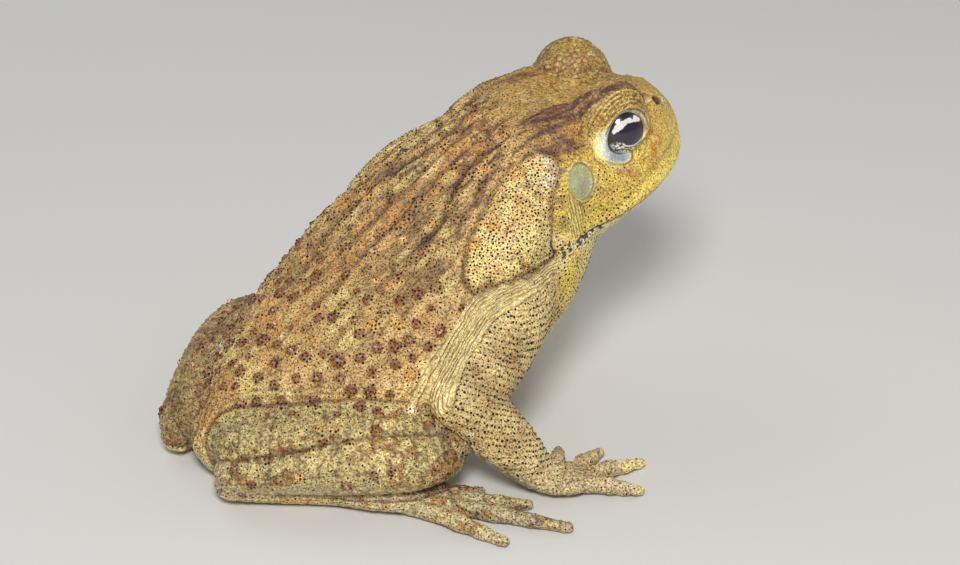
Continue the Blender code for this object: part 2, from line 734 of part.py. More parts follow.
def main():
    for obj in list(bpy.data.objects):
        bpy.data.objects.remove(obj)

    form = whole_form(VOXEL, SMOOTH_ROUNDS)
    thin = form.modifiers.new("Decimate", "DECIMATE")
    thin.ratio = FORM_FACES / (2 * len(form.data.polygons))
    evaluated(form)
    floor = floor_block()
    boolean(form, floor, "DIFFERENCE")
    largest(form)

    nodes = []
    for side, word in ((1, "left"), (-1, "right")):
        mirror = (1, side, 1)
        centre = np.array(EYE_CENTRE) * mirror
        socket = ball("socket", centre, (EYE_RADIUS + GAP,) * 3, *EYE_FACETS)
        boolean(form, socket, "DIFFERENCE")
        remove([socket])
        eye = ball("eye", centre, (EYE_RADIUS,) * 3, *EYE_FACETS)
        nodes.append(finish(largest(eye), f"eye_{word}", EYE_DARK, 0.08))

        swing = LEFT_FOOT_TURN if side > 0 else 0.0
        for name, limb_of, base, rows, thick, turn, colour in (
                ("foot", side_of, TARSUS, TOES, TOE_THICK, swing, OLIVE),
                ("hand", arm_of, PALM, FINGERS, FINGER_THICK, 0.0, TAN)):
            end = digits(name, limb_of, side, base, rows, thick, turn)
            boolean(end, floor, "DIFFERENCE")
            nodes.append(finish(largest(end), f"{name}_{word}", colour))
            carve = limb("carve", limb_of(base, side), sides=8, per_span=2, ends=(55,), grow=GAP)
            boolean(form, carve, "DIFFERENCE")
            remove([carve])
        under = instep(side)
        boolean(form, under, "DIFFERENCE")
        remove([under])
        largest(form)

        ear = np.array(EAR_CENTRE) * mirror
        out = np.array(EAR_OUT) * mirror
        drum = peel(form, "ear", disc("region", ear, out, EAR_WIDE, EAR_LONG, EAR_DEEP, 6),
                    disc("grown", ear, out, EAR_WIDE + GAP, EAR_LONG + GAP, EAR_DEEP + GAP, 6.5))
        nodes.append(finish(drum, f"tympanum_{word}", GREY_GREEN))

        gland_region = dict(GLAND_REGION, roll=GLAND_ROLL * side)
        parts = (("parotoid_gland", gland_of(side), gland_region, CREAM),
                 ("forearm", arm_of(FOREARM, side), REGION, TAN),
                 ("upper_arm", arm_of(UPPER_ARM, side), REGION, TAN),
                 ("shank", side_of(SHANK, side), REGION, OLIVE),
                 ("thigh", side_of(THIGH, side), REGION, OLIVE))
        for label, rows, region, colour in parts:
            piece = peel(form, label, limb("region", rows, grow=MARGIN[label], **region),
                         limb("grown", rows, grow=MARGIN[label] + GAP, **region))
            nodes.append(finish(piece, f"{label}_{word}", colour))

    corner = MOUTH_BASE + MOUTH_SLOPE * MOUTH_CORNER
    hinge = (MOUTH_CORNER - HINGE_BACK, corner - HINGE_DROP)
    jaw_line = [(MOUTH_CORNER, corner), hinge, (JAW_BACK, JAW_BOTTOM), (JAW_FRONT, JAW_BOTTOM),
                (JAW_FRONT, MOUTH_BASE + MOUTH_SLOPE * JAW_FRONT)]
    jaw = peel(form, "jaw", slab("region", jaw_line, 0.0), slab("grown", jaw_line, GAP))
    nodes.append(finish(jaw, "lower_jaw", YELLOW))
    below = corner - HINGE_DROP + MOUTH_SLOPE * HEAD_FRONT
    neck = [NECK_TOP, hinge, (HEAD_FRONT, below), (HEAD_FRONT, NECK_TOP[1])]
    head = peel(form, "head", slab("region", neck, 0.0), slab("grown", neck, GAP))
    for side in (1, -1):
        mirror = (1, side, 1)
        hole = disc("hole", np.array(NOSTRIL) * mirror, np.array(NOSTRIL_LOOK) * mirror,
                    NOSTRIL_RADIUS, NOSTRIL_RADIUS * 1.3, NOSTRIL_DEEP, 3.0, sides=8)
        boolean(head, hole, "DIFFERENCE")
        remove([hole])
    nodes.append(finish(largest(head), "head", YELLOW))
    nodes.append(finish(form, "trunk", GOLDEN))
    remove([floor])
    return nodes


if __name__ == "__main__":
    main()
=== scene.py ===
import math
import random
from itertools import product

import bmesh
import bpy
import numpy as np
from mathutils import Matrix, Vector
from mathutils.kdtree import KDTree


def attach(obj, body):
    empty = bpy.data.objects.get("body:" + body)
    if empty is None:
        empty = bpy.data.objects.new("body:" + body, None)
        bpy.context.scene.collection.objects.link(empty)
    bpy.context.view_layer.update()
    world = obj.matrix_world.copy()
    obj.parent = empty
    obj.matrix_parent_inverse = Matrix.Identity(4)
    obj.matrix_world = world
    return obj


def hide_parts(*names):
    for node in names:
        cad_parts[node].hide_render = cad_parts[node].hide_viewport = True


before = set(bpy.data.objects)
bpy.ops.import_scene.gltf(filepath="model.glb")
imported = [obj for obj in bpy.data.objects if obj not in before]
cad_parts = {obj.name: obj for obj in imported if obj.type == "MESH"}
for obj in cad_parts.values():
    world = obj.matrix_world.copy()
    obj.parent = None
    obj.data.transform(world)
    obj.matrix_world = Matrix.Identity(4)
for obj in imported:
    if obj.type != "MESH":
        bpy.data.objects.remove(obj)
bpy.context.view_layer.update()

# Looks of the cane toad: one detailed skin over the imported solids, eyeballs and dark skin tips.
# Shapes are set out in millimetres in the toad's own frame: forward, towards its left, and up.
# place() turns them into the model's frame in metres, as the part's source does. The head has a
# frame of its own: forward, left and up from the point between the eyes.

MM = 0.001
ORIGIN_FORWARD = 53.7
ORIGIN_LEFT = -2.8
SIDES = (1, -1)         # its left, then its right
UP = (0, 0, 1.0)
VOXEL = 0.38
BODY_SMOOTHING = 4.0    # rounds of smoothing that a voxel of one millimetre would need
SKIN_SMOOTHING = 0.35
FLOOR_GAP = 0.02        # least height of the skin over the floor

# The same forms as the solids. Curves are (forward, value). Limbs are (forward, left, up,
# half width, half height). Digits are (forward, left, angle outward in degrees, length).
BACK = [(-5, 9), (-3, 14), (0, 17.5), (5, 22), (10, 25.5), (20, 32), (31, 39), (42, 46.5),
        (55, 54.5), (68, 61.5), (79, 65), (88, 65)]
BELLY = [(-5, 5), (-3, 1.5), (0, -0.6), (20, -0.8), (40, -0.6), (50, 2), (60, 7), (68, 11),
         (75, 16), (82, 26), (88, 38)]
FLANK = [(-5, 3), (-3, 6.5), (0, 10), (5, 14.5), (10, 18), (20, 23.5), (31, 28), (42, 30.5),
         (55, 30), (68, 27.5), (79, 23), (88, 15)]
WIDEST = [(-5, 7), (0, 8), (20, 12), (42, 19), (55, 26), (68, 35), (79, 43), (88, 50)]
BODY_POWER = 2.25
BODY_RINGS = 34
BODY_SIDES = 64
NECK_BEND_START = 64.0

HEAD_FORWARD = 95.0
HEAD_LEFT = -4.5
HEAD_UP = 63.5
HEAD_YAW = math.radians(-15)
CROWN = [(-28, -4), (-20, 1), (-12, 2.8), (0, 3.0), (5, 2.6), (8, 1.9), (11, 1.0), (14, -0.4),
         (17, -3.6), (19.4, -8.5)]
CROWN_EDGE = [(-28, 0.8), (0, 0.8), (4, 1.8), (8, 3.0), (12, 2.4), (16, 1.2), (19.4, 0.8)]
CROWN_HALF = [(-28, 15), (-12, 13), (0, 10.5), (8, 8.6), (13, 6.6), (16.5, 4.4), (19.4, 2.2)]
CHEEK_HALF = [(-28, 23), (-16, 24.5), (-8, 24.2), (0, 22), (6, 19), (10, 16.2), (14, 12.4),
              (17, 8.2), (19.4, 3.4)]
MOUTH_HIGH = [(-28, -22), (-14, -19.3), (0, -17), (20, -13)]
JAW_LOW = [(-28, -38), (-18, -36), (-8, -32.5), (0, -29), (6, -25.5), (12, -21.5), (16, -18.5),
           (20, -15.5)]
JAW_TUCK = [(-28, 0.98), (-18, 0.95), (-10, 0.86), (0, 0.8), (20, 0.72)]
MOUTH_SLOPE = 0.2
MOUTH_BASE = -17.0
MOUTH_CORNER = -14.5
HEAD_RINGS = 30

EYE_CENTRE = (0.5, 11.0, -2.1)
EYE_RADIUS = 6.8
BROW_CENTRE = (-0.9, 11.0, 0.3)
BROW_RADII = (8.6, 7.7, 8.3)
EYE_LOOK = (0.117, 0.96, 0.12)
OPENING_MIDDLE = (-0.9, -0.66)
OPENING_LONG = 5.56
OPENING_SHORT = 4.3
OPENING_TILT = math.radians(75)
LID = 0.85              # thickness of the lids
LID_RIM = 0.35          # swelling of their edge, and depth of the fold behind it
LID_FOLD = 0.25
BALL_COVER = 1.6        # how far under the eyeball's surface the skin lies in its opening

EAR_CENTRE = (-11.7, 21.2, -8.5)
EAR_WIDE = 2.8
EAR_LONG = 3.0
CREST = [(14.5, 4.8, -1.6), (10.5, 6.6, -0.3), (6, 8.2, 1.4), (2, 8.8, 3.4), (-5, 9.4, 3.8),
         (-10, 11.5, 2.2), (-13, 15.5, -0.4)]
NOSTRIL = (12.2, 6.0, -0.5)

LEFT_ARM_AHEAD = 4.0
LEFT_ARM_IN = 3.5
UPPER_ARM = [(65, 19, 36, 9, 11), (58, 24.5, 30.5, 8.6, 10.5), (48, 30, 24.5, 8, 8.8),
             (40, 33, 20, 7.2, 7.2)]
FOREARM = [(39.5, 33.5, 19.5, 7, 7), (43, 37, 15, 6.8, 6.6), (47, 41, 10, 6.2, 5.8),
           (50.5, 44, 5, 5.2, 4.2), (52.5, 45.5, 3.4, 4.8, 3.4)]
THIGH = [(3, 8.5, 9.5, 8.5, 7.5), (10, 15, 10.5, 8.6, 8.2), (19, 21.5, 10.8, 8.4, 8.6),
         (27, 27, 10.4, 7.8, 8.2), (32.5, 31, 9.4, 7.2, 7.6)]
SHANK = [(33, 33, 9.8, 6.8, 6.2), (26, 32.5, 10.2, 7.3, 6.3), (17, 27.2, 10.1, 7.2, 6.3),
         (6.5, 19.3, 8.8, 6.1, 5.5), (-1, 13, 7.2, 5, 4.8), (-2.8, 11.4, 6.6, 4.6, 4.4)]
TARSUS = [(-3.6, 11, 4.0, 4.0, 3.4), (4, 16, 3.0, 4.2, 3.0), (14, 23.2, 2.6, 4.6, 2.8),
          (20, 29, 2.4, 5.4, 2.5), (25, 34, 2.3, 5.2, 2.2)]
PALM = [(51, 44.2, 3.8, 4.6, 3.2), (53.5, 46.4, 2.9, 5.4, 2.9), (57, 48.6, 2.4, 5.4, 2.3)]
FINGERS = [(55, 45, -48, 10.5), (57.5, 46.8, -20, 12), (59, 49, 8, 14.5), (58, 51.6, 40, 11.5)]
FINGER_THICK = 2.0
TOES = [(24, 31.5, 12, 9), (26, 33.5, 26, 15), (27.5, 36, 38, 22), (27.5, 38, 50, 30),
        (25, 39, 66, 20)]
TOE_THICK = 2.0
LEFT_FOOT_TURN = -20.0
DIGIT_ROOT = 3.0
# Knuckled digit: share of its length, half width, half height.
DIGIT = [(0.16, 1.02, 0.86, 0.92), (0.33, 1.05, 0.84, 0.94), (0.48, 1.0, 1.04, 1.02),
         (0.6, 0.86, 0.74, 0.8), (0.74, 0.74, 0.84, 0.8), (0.86, 0.64, 0.62, 0.62),
         (0.96, 0.58, 0.66, 0.6), (1.0, 0.56, 0.6, 0.56)]
WEB_TOE = 0.42
WEB_MIDDLE = 0.30
WEB_LOW = 0.6
WEB_HIGH = 1.9

GLAND = [(75, 16.2, 51.6, 5.6, 5.4), (70, 17.6, 50.0, 8.4, 6.4), (63, 19.6, 46.6, 8.8, 6.8),
         (56, 22.3, 41.2, 6.6, 5.6)]
GLAND_ROLL = 38.0
LEFT_GLAND_OUT = 2.2
LEFT_GLAND_DROP = 3.6

WART_SEED = 7
# Warts by size: least distance apart, tries, radii and heights.
WARTS = {"large": (7.0, 900, (1.4, 1.9), (0.65, 1.0)), "limb": (6.0, 60, (1.1, 1.6), (0.45, 0.7)),
         "small": (3.35, 4000, (0.9, 1.5), (0.45, 0.8)), "tiny": (2.9, 220, (0.7, 1.15), (0.25, 0.4))}


# Curves and frames.

def curve(points, at):
    """Smooth curve through (x, y) points that never swings past them, read at the given places."""
    xs, ys = np.array(points, float).T
    slope = np.diff(ys) / np.diff(xs)
    bend = np.zeros_like(xs)
    rising = slope[:-1] * slope[1:] > 0
    both = slope[:-1] + slope[1:]
    bend[1:-1][rising] = 2 * slope[:-1][rising] * slope[1:][rising] / both[rising]
    bend[0], bend[-1] = slope[0], slope[-1]
    at = np.clip(np.asarray(at, float), xs[0], xs[-1])
    span = np.clip(np.searchsorted(xs, at, "right") - 1, 0, len(xs) - 2)
    width = xs[span + 1] - xs[span]
    t = (at - xs[span]) / width
    return ((1 + 2 * t) * (1 - t) ** 2 * ys[span] + t * (1 - t) ** 2 * width * bend[span]
            + t * t * (3 - 2 * t) * ys[span + 1] + t * t * (t - 1) * width * bend[span + 1])


def smooth_rows(rows, per_span):
    """Catmull-Rom curve through rows of numbers."""
    rows = np.array(rows, float)
    padded = np.vstack([2 * rows[0] - rows[1], rows, 2 * rows[-1] - rows[-2]])
    out = []
    for i in range(1, len(padded) - 2):
        a, b, c, d = padded[i - 1:i + 3]
        for t in np.arange(per_span) / per_span:
            out.append(0.5 * (2 * b + (c - a) * t + (2 * a - 5 * b + 4 * c - d) * t * t
                              + (3 * b - a - 3 * c + d) * t ** 3))
    out.append(padded[-2])
    return np.array(out)


def unit(v):
    v = np.asarray(v, float)
    return v / np.linalg.norm(v, axis=-1, keepdims=True)


def ease(x):
    """0 at or below 0, 1 at or above 1, smooth between."""
    x = np.clip(x, 0, 1)
    return x * x * (3 - 2 * x)


def bump(x):
    """1 at 0, falling smoothly to 0 at 1 and beyond."""
    return 1 - ease(np.abs(x))


def side_of(rows, side):
    """Rows that begin with forward and left, on the given side."""
    return [(f, side * left, *rest) for f, left, *rest in rows]


def arm_of(rows, side):
    """As side_of, with the left arm a little ahead and further in."""
    if side < 0:
        return side_of(rows, side)
    return [(f + LEFT_ARM_AHEAD, left - LEFT_ARM_IN, *rest) for f, left, *rest in rows]


def gland_of(side):
    if side < 0:
        return side_of(GLAND, side)
    return [(f, left + LEFT_GLAND_OUT, up - LEFT_GLAND_DROP, wide, high)
            for f, left, up, wide, high in GLAND]


def mirror(points, side):
    """Points of the left side on the given side."""
    return np.array(points) * (1, side, 1)


def neck_bend(f, share=0.55):
    """How far the body leans towards the turned head, at a place forward of the shoulders."""
    return np.maximum(0.0, f - NECK_BEND_START) * math.tan(HEAD_YAW) * share


def place(points):
    """Toad frame in millimetres to the model's frame in metres."""
    p = np.atleast_2d(np.asarray(points, float))
    return np.stack([p[:, 1] - ORIGIN_LEFT, ORIGIN_FORWARD - p[:, 0], p[:, 2]], -1) * MM


def unplace(points):
    """The model's frame in metres to the toad frame in millimetres."""
    p = np.asarray(points, float) / MM
    return np.stack([ORIGIN_FORWARD - p[:, 1], p[:, 0] + ORIGIN_LEFT, p[:, 2]], -1)


def turned(direction):
    """A direction of the toad frame in the model's frame."""
    f, left, up = np.asarray(direction, float)
    return np.array([left, -f, up])


def from_head(d, s, v):
    """Head frame to the toad frame."""
    d, s, v = np.broadcast_arrays(*(np.asarray(a, float) for a in (d, s, v)))
    cos, sin = math.cos(HEAD_YAW), math.sin(HEAD_YAW)
    return np.stack([HEAD_FORWARD + d * cos - s * sin, HEAD_LEFT + d * sin + s * cos,
                     HEAD_UP + v], -1)


def to_head(points):
    """Toad frame to the head frame."""
    p = np.asarray(points, float)
    f, left = p[..., 0] - HEAD_FORWARD, p[..., 1] - HEAD_LEFT
    cos, sin = math.cos(HEAD_YAW), math.sin(HEAD_YAW)
    return np.stack([f * cos + left * sin, left * cos - f * sin, p[..., 2] - HEAD_UP], -1)


TABLE = 4096            # rows of the random tables, a power of two
HASH = (73856093, 19349663, 83492791)
GRID_SHIFT = 517.3      # keeps the grid's cells positive


def table_row(cell):
    """Row of a random table for each cell of a grid."""
    return (cell[:, 0] * HASH[0] ^ cell[:, 1] * HASH[1] ^ cell[:, 2] * HASH[2]) & (TABLE - 1)


def noise(points, size, seed, detail=1):
    """Smooth random values from about -1 to 1 that vary over the given size in millimetres."""
    table = np.random.default_rng(seed).uniform(-1, 1, TABLE)
    total = np.zeros(len(points))
    for octave in range(detail):
        p = points / size * 2 ** octave + GRID_SHIFT + 31.7 * octave
        base = np.floor(p).astype(np.int64)
        t = ease(p - base)
        for corner in product((0, 1), repeat=3):
            x, y, z = (t[:, i] if corner[i] else 1 - t[:, i] for i in range(3))
            total += 0.5 ** octave * x * y * z * table[table_row(base + corner)]
    return total


def cells(points, size, seed):
    """Distance from the nearest of scattered seeds, about one to a cube of the given size."""
    table = np.random.default_rng(seed).uniform(0.1, 0.9, (TABLE, 3))
    p = points / size + GRID_SHIFT
    base = np.floor(p).astype(np.int64)
    best = np.full(len(points), 9.0)
    for corner in product((-1, 0, 1), repeat=3):
        cell = base + corner
        best = np.minimum(best, ((cell + table[table_row(cell)] - p) ** 2).sum(1))
    return np.sqrt(best)


def near_line(points, line):
    """Distance of each point from a line through rows of points."""
    line = np.asarray(line, float)
    best = np.full(len(points), np.inf)
    for a, b in zip(line, line[1:]):
        t = np.clip((points - a) @ (b - a) / ((b - a) @ (b - a)), 0, 1)
        best = np.minimum(best, np.linalg.norm(points - a - t[:, None] * (b - a), axis=1))
    return best


def near_curve(points, line, per_span=4):
    """Distance of each point from a smooth curve through rows of points."""
    return near_line(points, smooth_rows(line, per_span))


def section(direction, roll=0.0):
    """Level and upward directions square to a limb's axis, turned round it by roll in degrees."""
    turn = math.radians(roll)
    across = unit(np.cross(UP, direction))
    upward = np.cross(direction, across)
    return (across * math.cos(turn) + upward * math.sin(turn),
            upward * math.cos(turn) - across * math.sin(turn))


def tube(points, rows):
    """How far out from a limb's axis each point lies, 1 at its surface, and where along, 0 to 1."""
    line = smooth_rows(rows, 6)
    ahead = unit(np.gradient(line[:, :3], axis=0))
    gap = np.linalg.norm(np.diff(line[:, :3], axis=0), axis=1).mean()
    best = np.full(len(points), 99.0)
    along = np.zeros(len(points))
    for i, (row, direction) in enumerate(zip(line, ahead)):
        across, upward = section(direction)
        away = points - row[:3]
        onward = away @ direction
        out = np.sqrt((away @ across / row[3]) ** 2 + (away @ upward / row[4]) ** 2
                      + (onward * 2 / (row[3] + row[4])) ** 2)
        closer = out < best
        best[closer] = out[closer]
        along[closer] = (i + np.clip(onward[closer] / gap, -0.5, 0.5)) / (len(line) - 1)
    return best, along


# Meshes.

def new_object(name, mesh):
    obj = bpy.data.objects.new(name, mesh)
    bpy.context.scene.collection.objects.link(obj)
    return obj


def object_from(name, bm):
    """Object with the mesh of a bmesh, which is freed."""
    mesh = bpy.data.meshes.new(name)
    bm.to_mesh(mesh)
    bm.free()
    return new_object(name, mesh)


def loft(rings):
    """Closed body through rings of equal size, given in the toad frame."""
    bm = bmesh.new()
    rows = [[bm.verts.new(p) for p in place(ring)] for ring in rings]
    count = len(rows[0])
    for lower, upper in zip(rows, rows[1:]):
        for i in range(count):
            j = (i + 1) % count
            bm.faces.new((lower[i], lower[j], upper[j], upper[i]))
    bm.faces.new(rows[0][::-1])
    bm.faces.new(rows[-1])
    bmesh.ops.recalc_face_normals(bm, faces=bm.faces)
    return object_from("form", bm)


def limb(stations, sides=20, per_span=6, roll=0.0, ends=(75, 50, 25)):
    """Closed tube through stations, its ends rounded by rings at the given angles in degrees."""
    rows = smooth_rows(stations, per_span)
    along = unit(np.gradient(rows[:, :3], axis=0))
    angles = np.linspace(0, 2 * math.pi, sides, endpoint=False)
    rings = []

    def ring(centre, direction, wide, high):
        across, upward = section(direction, roll)
        rings.append(centre + np.outer(np.cos(angles) * wide, across)
                     + np.outer(np.sin(angles) * high, upward))

    def end(row, direction, outward, turns):
        for turn in turns:
            reach = 0.5 * (row[3] + row[4]) * math.sin(turn)
            ring(row[:3] + outward * direction * reach, direction, *(row[3:] * math.cos(turn)))

    turns = [math.radians(angle) for angle in ends]
    end(rows[0], along[0], -1, turns)
    for row, direction in zip(rows, along):
        ring(row[:3], direction, row[3], row[4])
    end(rows[-1], along[-1], 1, turns[::-1])
    return loft(rings)


def body_point(f, angle):
    """Point of the body's surface; the angle runs from its left side over the back."""
    cos, sin = np.cos(angle), np.sin(angle)
    shape = 2 / BODY_POWER
    middle = curve(WIDEST, f)
    top, low = curve(BACK, f) - middle, middle - curve(BELLY, f)
    left = curve(FLANK, f) * np.sign(cos) * np.abs(cos) ** shape
    up = middle + np.where(sin > 0, top, low) * np.sign(sin) * np.abs(sin) ** shape
    return np.stack([f + 0 * left, left + neck_bend(f), up], -1)


def body_form():
    """The trunk, its rings closer together towards the rump."""
    angles = np.linspace(0, 2 * math.pi, BODY_SIDES, endpoint=False)
    reach = BACK[-1][0] - BACK[0][0]
    along = BACK[0][0] + reach * np.linspace(0, 1, BODY_RINGS) ** 1.15
    return loft([body_point(np.full(BODY_SIDES, f), angles) for f in along])


def head_form():
    """The head and jaw, with a hollow in the cheek under each eye, for the eyeball to fill."""
    rings = []
    start, end = CROWN[0][0], CROWN[-1][0]
    for t in np.linspace(0, 1, HEAD_RINGS):
        d = start + (end - start) * (1 - (1 - t) ** 1.5)
        crown, crown_half = curve(CROWN, d), curve(CROWN_HALF, d)
        cheek, mouth, low = curve(CHEEK_HALF, d), curve(MOUTH_HIGH, d), curve(JAW_LOW, d)
        tuck, edge = curve(JAW_TUCK, d), curve(CROWN_EDGE, d)
        hollow = 0.28 * bump((d - EYE_CENTRE[0]) / 9)
        half = [(0, crown), (crown_half * 0.6, crown + 0.4 - 0.4 * edge),
                (crown_half, crown - edge),
                (crown_half + (cheek - crown_half) * (0.55 - hollow),
                 crown + (mouth - crown) * 0.38),
                (cheek * 0.97, crown + (mouth - crown) * 0.78), (cheek, mouth),
                (cheek * tuck, mouth + (low - mouth) * 0.30),
                (cheek * tuck * 0.68, mouth + (low - mouth) * 0.78), (cheek * 0.25, low)]
        outline = half + [(-s, v) for s, v in half[:0:-1]]
        smooth = smooth_rows(np.array(outline[-1:] + outline + outline[:3]), 3)[3:-6]
        rings.append(from_head(np.full(len(smooth), d), smooth[:, 0], smooth[:, 1]))
    return loft(rings)


def brow_form(side):
    """The ball of the brow over one eye."""
    bm = bmesh.new()
    bmesh.ops.create_uvsphere(bm, u_segments=32, v_segments=20, radius=1.0)
    points = np.array([v.co[:] for v in bm.verts]) * BROW_RADII + mirror(BROW_CENTRE, side)
    for vert, p in zip(bm.verts, place(from_head(*points.T))):
        vert.co = p
    bmesh.ops.recalc_face_normals(bm, faces=bm.faces)
    return object_from("form", bm)


def web(side, rows, swing):
    """Thin plate of skin between the toes, scalloped from toe to toe."""
    edge = []

    def reach_out(f, left, angle, reach):
        turn = math.radians(angle + swing)
        edge.append((f + math.cos(turn) * reach, left + math.sin(turn) * reach))

    for row, after in zip(rows, rows[1:] + [None]):
        reach_out(*row[:3], row[3] * WEB_TOE)
        if after:
            f, left, angle, length = ((a + b) / 2 for a, b in zip(row, after))
            reach_out(f, left, angle, length * WEB_MIDDLE)
    edge += [(rows[-1][0] - 3, rows[-1][1] - 2), (rows[0][0] - 3, rows[0][1] - 2)]
    return loft([np.array(side_of([(f, left, up) for f, left in edge], side))
                 for up in (WEB_LOW, WEB_HIGH)])


def digits(mirrored, side, base, rows, thick, swing=0.0):
    """Palm or sole with its tapering, knuckled digits."""
    shapes = [limb(mirrored(base, side), sides=16, per_span=5, ends=(70, 35))]
    for f, left, angle, length in rows:
        turn = math.radians(angle + swing)
        ahead, out = math.cos(turn), math.sin(turn)
        path = [(f - ahead * DIGIT_ROOT, left - out * DIGIT_ROOT, thick, thick, thick * 0.9)]
        for share, *sizes in DIGIT:
            reach = length * share
            path.append((f + ahead * reach, left + out * reach, *(size * thick for size in sizes)))
        shapes.append(limb(mirrored(path, side), sides=14, per_span=3, ends=(65, 35)))
    return shapes


def evaluated(obj):
    """Apply an object's modifiers."""
    depsgraph = bpy.context.evaluated_depsgraph_get()
    mesh = bpy.data.meshes.new_from_object(obj.evaluated_get(depsgraph))
    obj.modifiers.clear()
    old = obj.data
    obj.data = mesh
    bpy.data.meshes.remove(old)
    return obj


def fuse(name, objects, smooth):
    """One skin round overlapping closed bodies, its creases softened."""
    bm = bmesh.new()
    for obj in objects:
        mesh = obj.data
        bm.from_mesh(mesh)
        bpy.data.objects.remove(obj)
        bpy.data.meshes.remove(mesh)
    obj = object_from(name, bm)
    remesh = obj.modifiers.new("Remesh", "REMESH")
    remesh.mode = "VOXEL"
    remesh.voxel_size = VOXEL * MM
    soften = obj.modifiers.new("Smooth", "SMOOTH")
    soften.factor = 0.5
    soften.iterations = max(1, round(smooth / VOXEL ** 2))
    return evaluated(obj)


def read_mesh(mesh):
    """Points and normals of a mesh, in the toad frame."""
    points = np.empty(len(mesh.vertices) * 3)
    mesh.vertices.foreach_get("co", points)
    normals = np.empty(len(mesh.vertices) * 3)
    mesh.vertex_normals.foreach_get("vector", normals)
    x, y, z = normals.reshape(-1, 3).T
    return unplace(points.reshape(-1, 3)), np.stack([-y, x, z], -1)


def write_mesh(mesh, points):
    mesh.vertices.foreach_set("co", place(points).ravel())
    mesh.update()


def store(mesh, name, values):
    """Store a number or a colour at every vertex."""
    if values.ndim == 1:
        made = mesh.attributes.new(name, "FLOAT", "POINT")
        made.data.foreach_set("value", values.astype(np.float32))
    else:
        made = mesh.attributes.new(name, "FLOAT_COLOR", "POINT")
        rows = np.hstack([values, np.ones((len(values), 1))])
        made.data.foreach_set("color", rows.astype(np.float32).ravel())


# The skin's shape.

def base_skin():
    """Every form of flesh in one skin; digits and webs join after the body is smoothed."""
    shapes = [body_form(), head_form()]
    for side in SIDES:
        shapes.append(brow_form(side))
        for rows in (arm_of(UPPER_ARM, side), arm_of(FOREARM, side), side_of(THIGH, side),
                     side_of(SHANK, side)):
            shapes.append(limb(rows))
        shapes.append(limb(gland_of(side), roll=GLAND_ROLL * side))
    parts = [fuse("form", shapes, BODY_SMOOTHING)]
    for side in SIDES:
        swing = LEFT_FOOT_TURN if side > 0 else 0.0
        parts += digits(side_of, side, TARSUS, TOES, TOE_THICK, swing)
        parts += digits(arm_of, side, PALM, FINGERS, FINGER_THICK)
        parts.append(web(side, TOES, swing))
    return fuse("skin", parts, SKIN_SMOOTHING)


def refine(obj, wanted):
    """Split the faces of the head that wanted() picks by their middles, for finer forms there."""
    bm = bmesh.new()
    bm.from_mesh(obj.data)
    bm.faces.ensure_lookup_table()
    head = to_head(unplace(np.array([face.calc_center_median()[:] for face in bm.faces])))
    edges = {edge for i in np.flatnonzero(wanted(head)) for edge in bm.faces[i].edges}
    bmesh.ops.subdivide_edges(bm, edges=list(edges), cuts=1, use_grid_fill=True)
    bm.to_mesh(obj.data)
    bm.free()


def above_mouth(head):
    """Height over the line of the mouth."""
    return head[:, 2] - (MOUTH_BASE + MOUTH_SLOPE * head[:, 0])


def face_parts(head):
    """The parts round the eyes, ears, nostrils and lips."""
    wanted = (np.abs(above_mouth(head)) < 2.2) & (head[:, 0] > MOUTH_CORNER - 4)
    for side in SIDES:
        for centre, reach in ((EYE_CENTRE, 11.5), (EAR_CENTRE, 6.0), (NOSTRIL, 3.5)):
            wanted |= np.linalg.norm(mirror(head, side) - centre, axis=1) < reach
    return wanted


def lid_edges(head):
    """The skin close to the edges of the lids."""
    wanted = np.zeros(len(head), bool)
    for side in SIDES:
        x, y, facing, distance, _ = eye_plane(head, side)
        reach = opening(x, y, facing)
        wanted |= ((reach > 0.8) & (reach < 1.5) & (distance > EYE_RADIUS - 2)
                   & (distance < EYE_RADIUS + 4))
    return wanted


def eye_frame(side):
    """Where the eye looks, and the directions forward and up across its pole."""
    look = unit(mirror(EYE_LOOK, side))
    along = unit(np.cross(UP, look)) * -side
    return look, along, np.cross(look, along) * -side


def eye_plane(head, side):
    """Where each point lies from the eye's pole in millimetres forward and up on the ball, how
    squarely it faces the eye's look, its distance from the ball's centre, and its direction."""
    look, along, upward = eye_frame(side)
    away = head - mirror(EYE_CENTRE, side)
    distance = np.linalg.norm(away, axis=1)
    direction = away / np.maximum(distance, 1e-6)[:, None]
    x, y, facing = direction @ along, direction @ upward, direction @ look
    stretch = EYE_RADIUS * np.arccos(np.clip(facing, -1, 1)) / np.maximum(np.hypot(x, y), 1e-6)
    return x * stretch, y * stretch, facing, distance, direction


def opening(x, y, facing):
    """1 on the edge of the eye's opening, less inside it."""
    cos, sin = math.cos(OPENING_TILT), math.sin(OPENING_TILT)
    x, y = x - OPENING_MIDDLE[0], y - OPENING_MIDDLE[1]
    reach = np.hypot((x * cos + y * sin) / OPENING_LONG, (y * cos - x * sin) / OPENING_SHORT)
    return np.where(facing > 0, reach, 2.5)


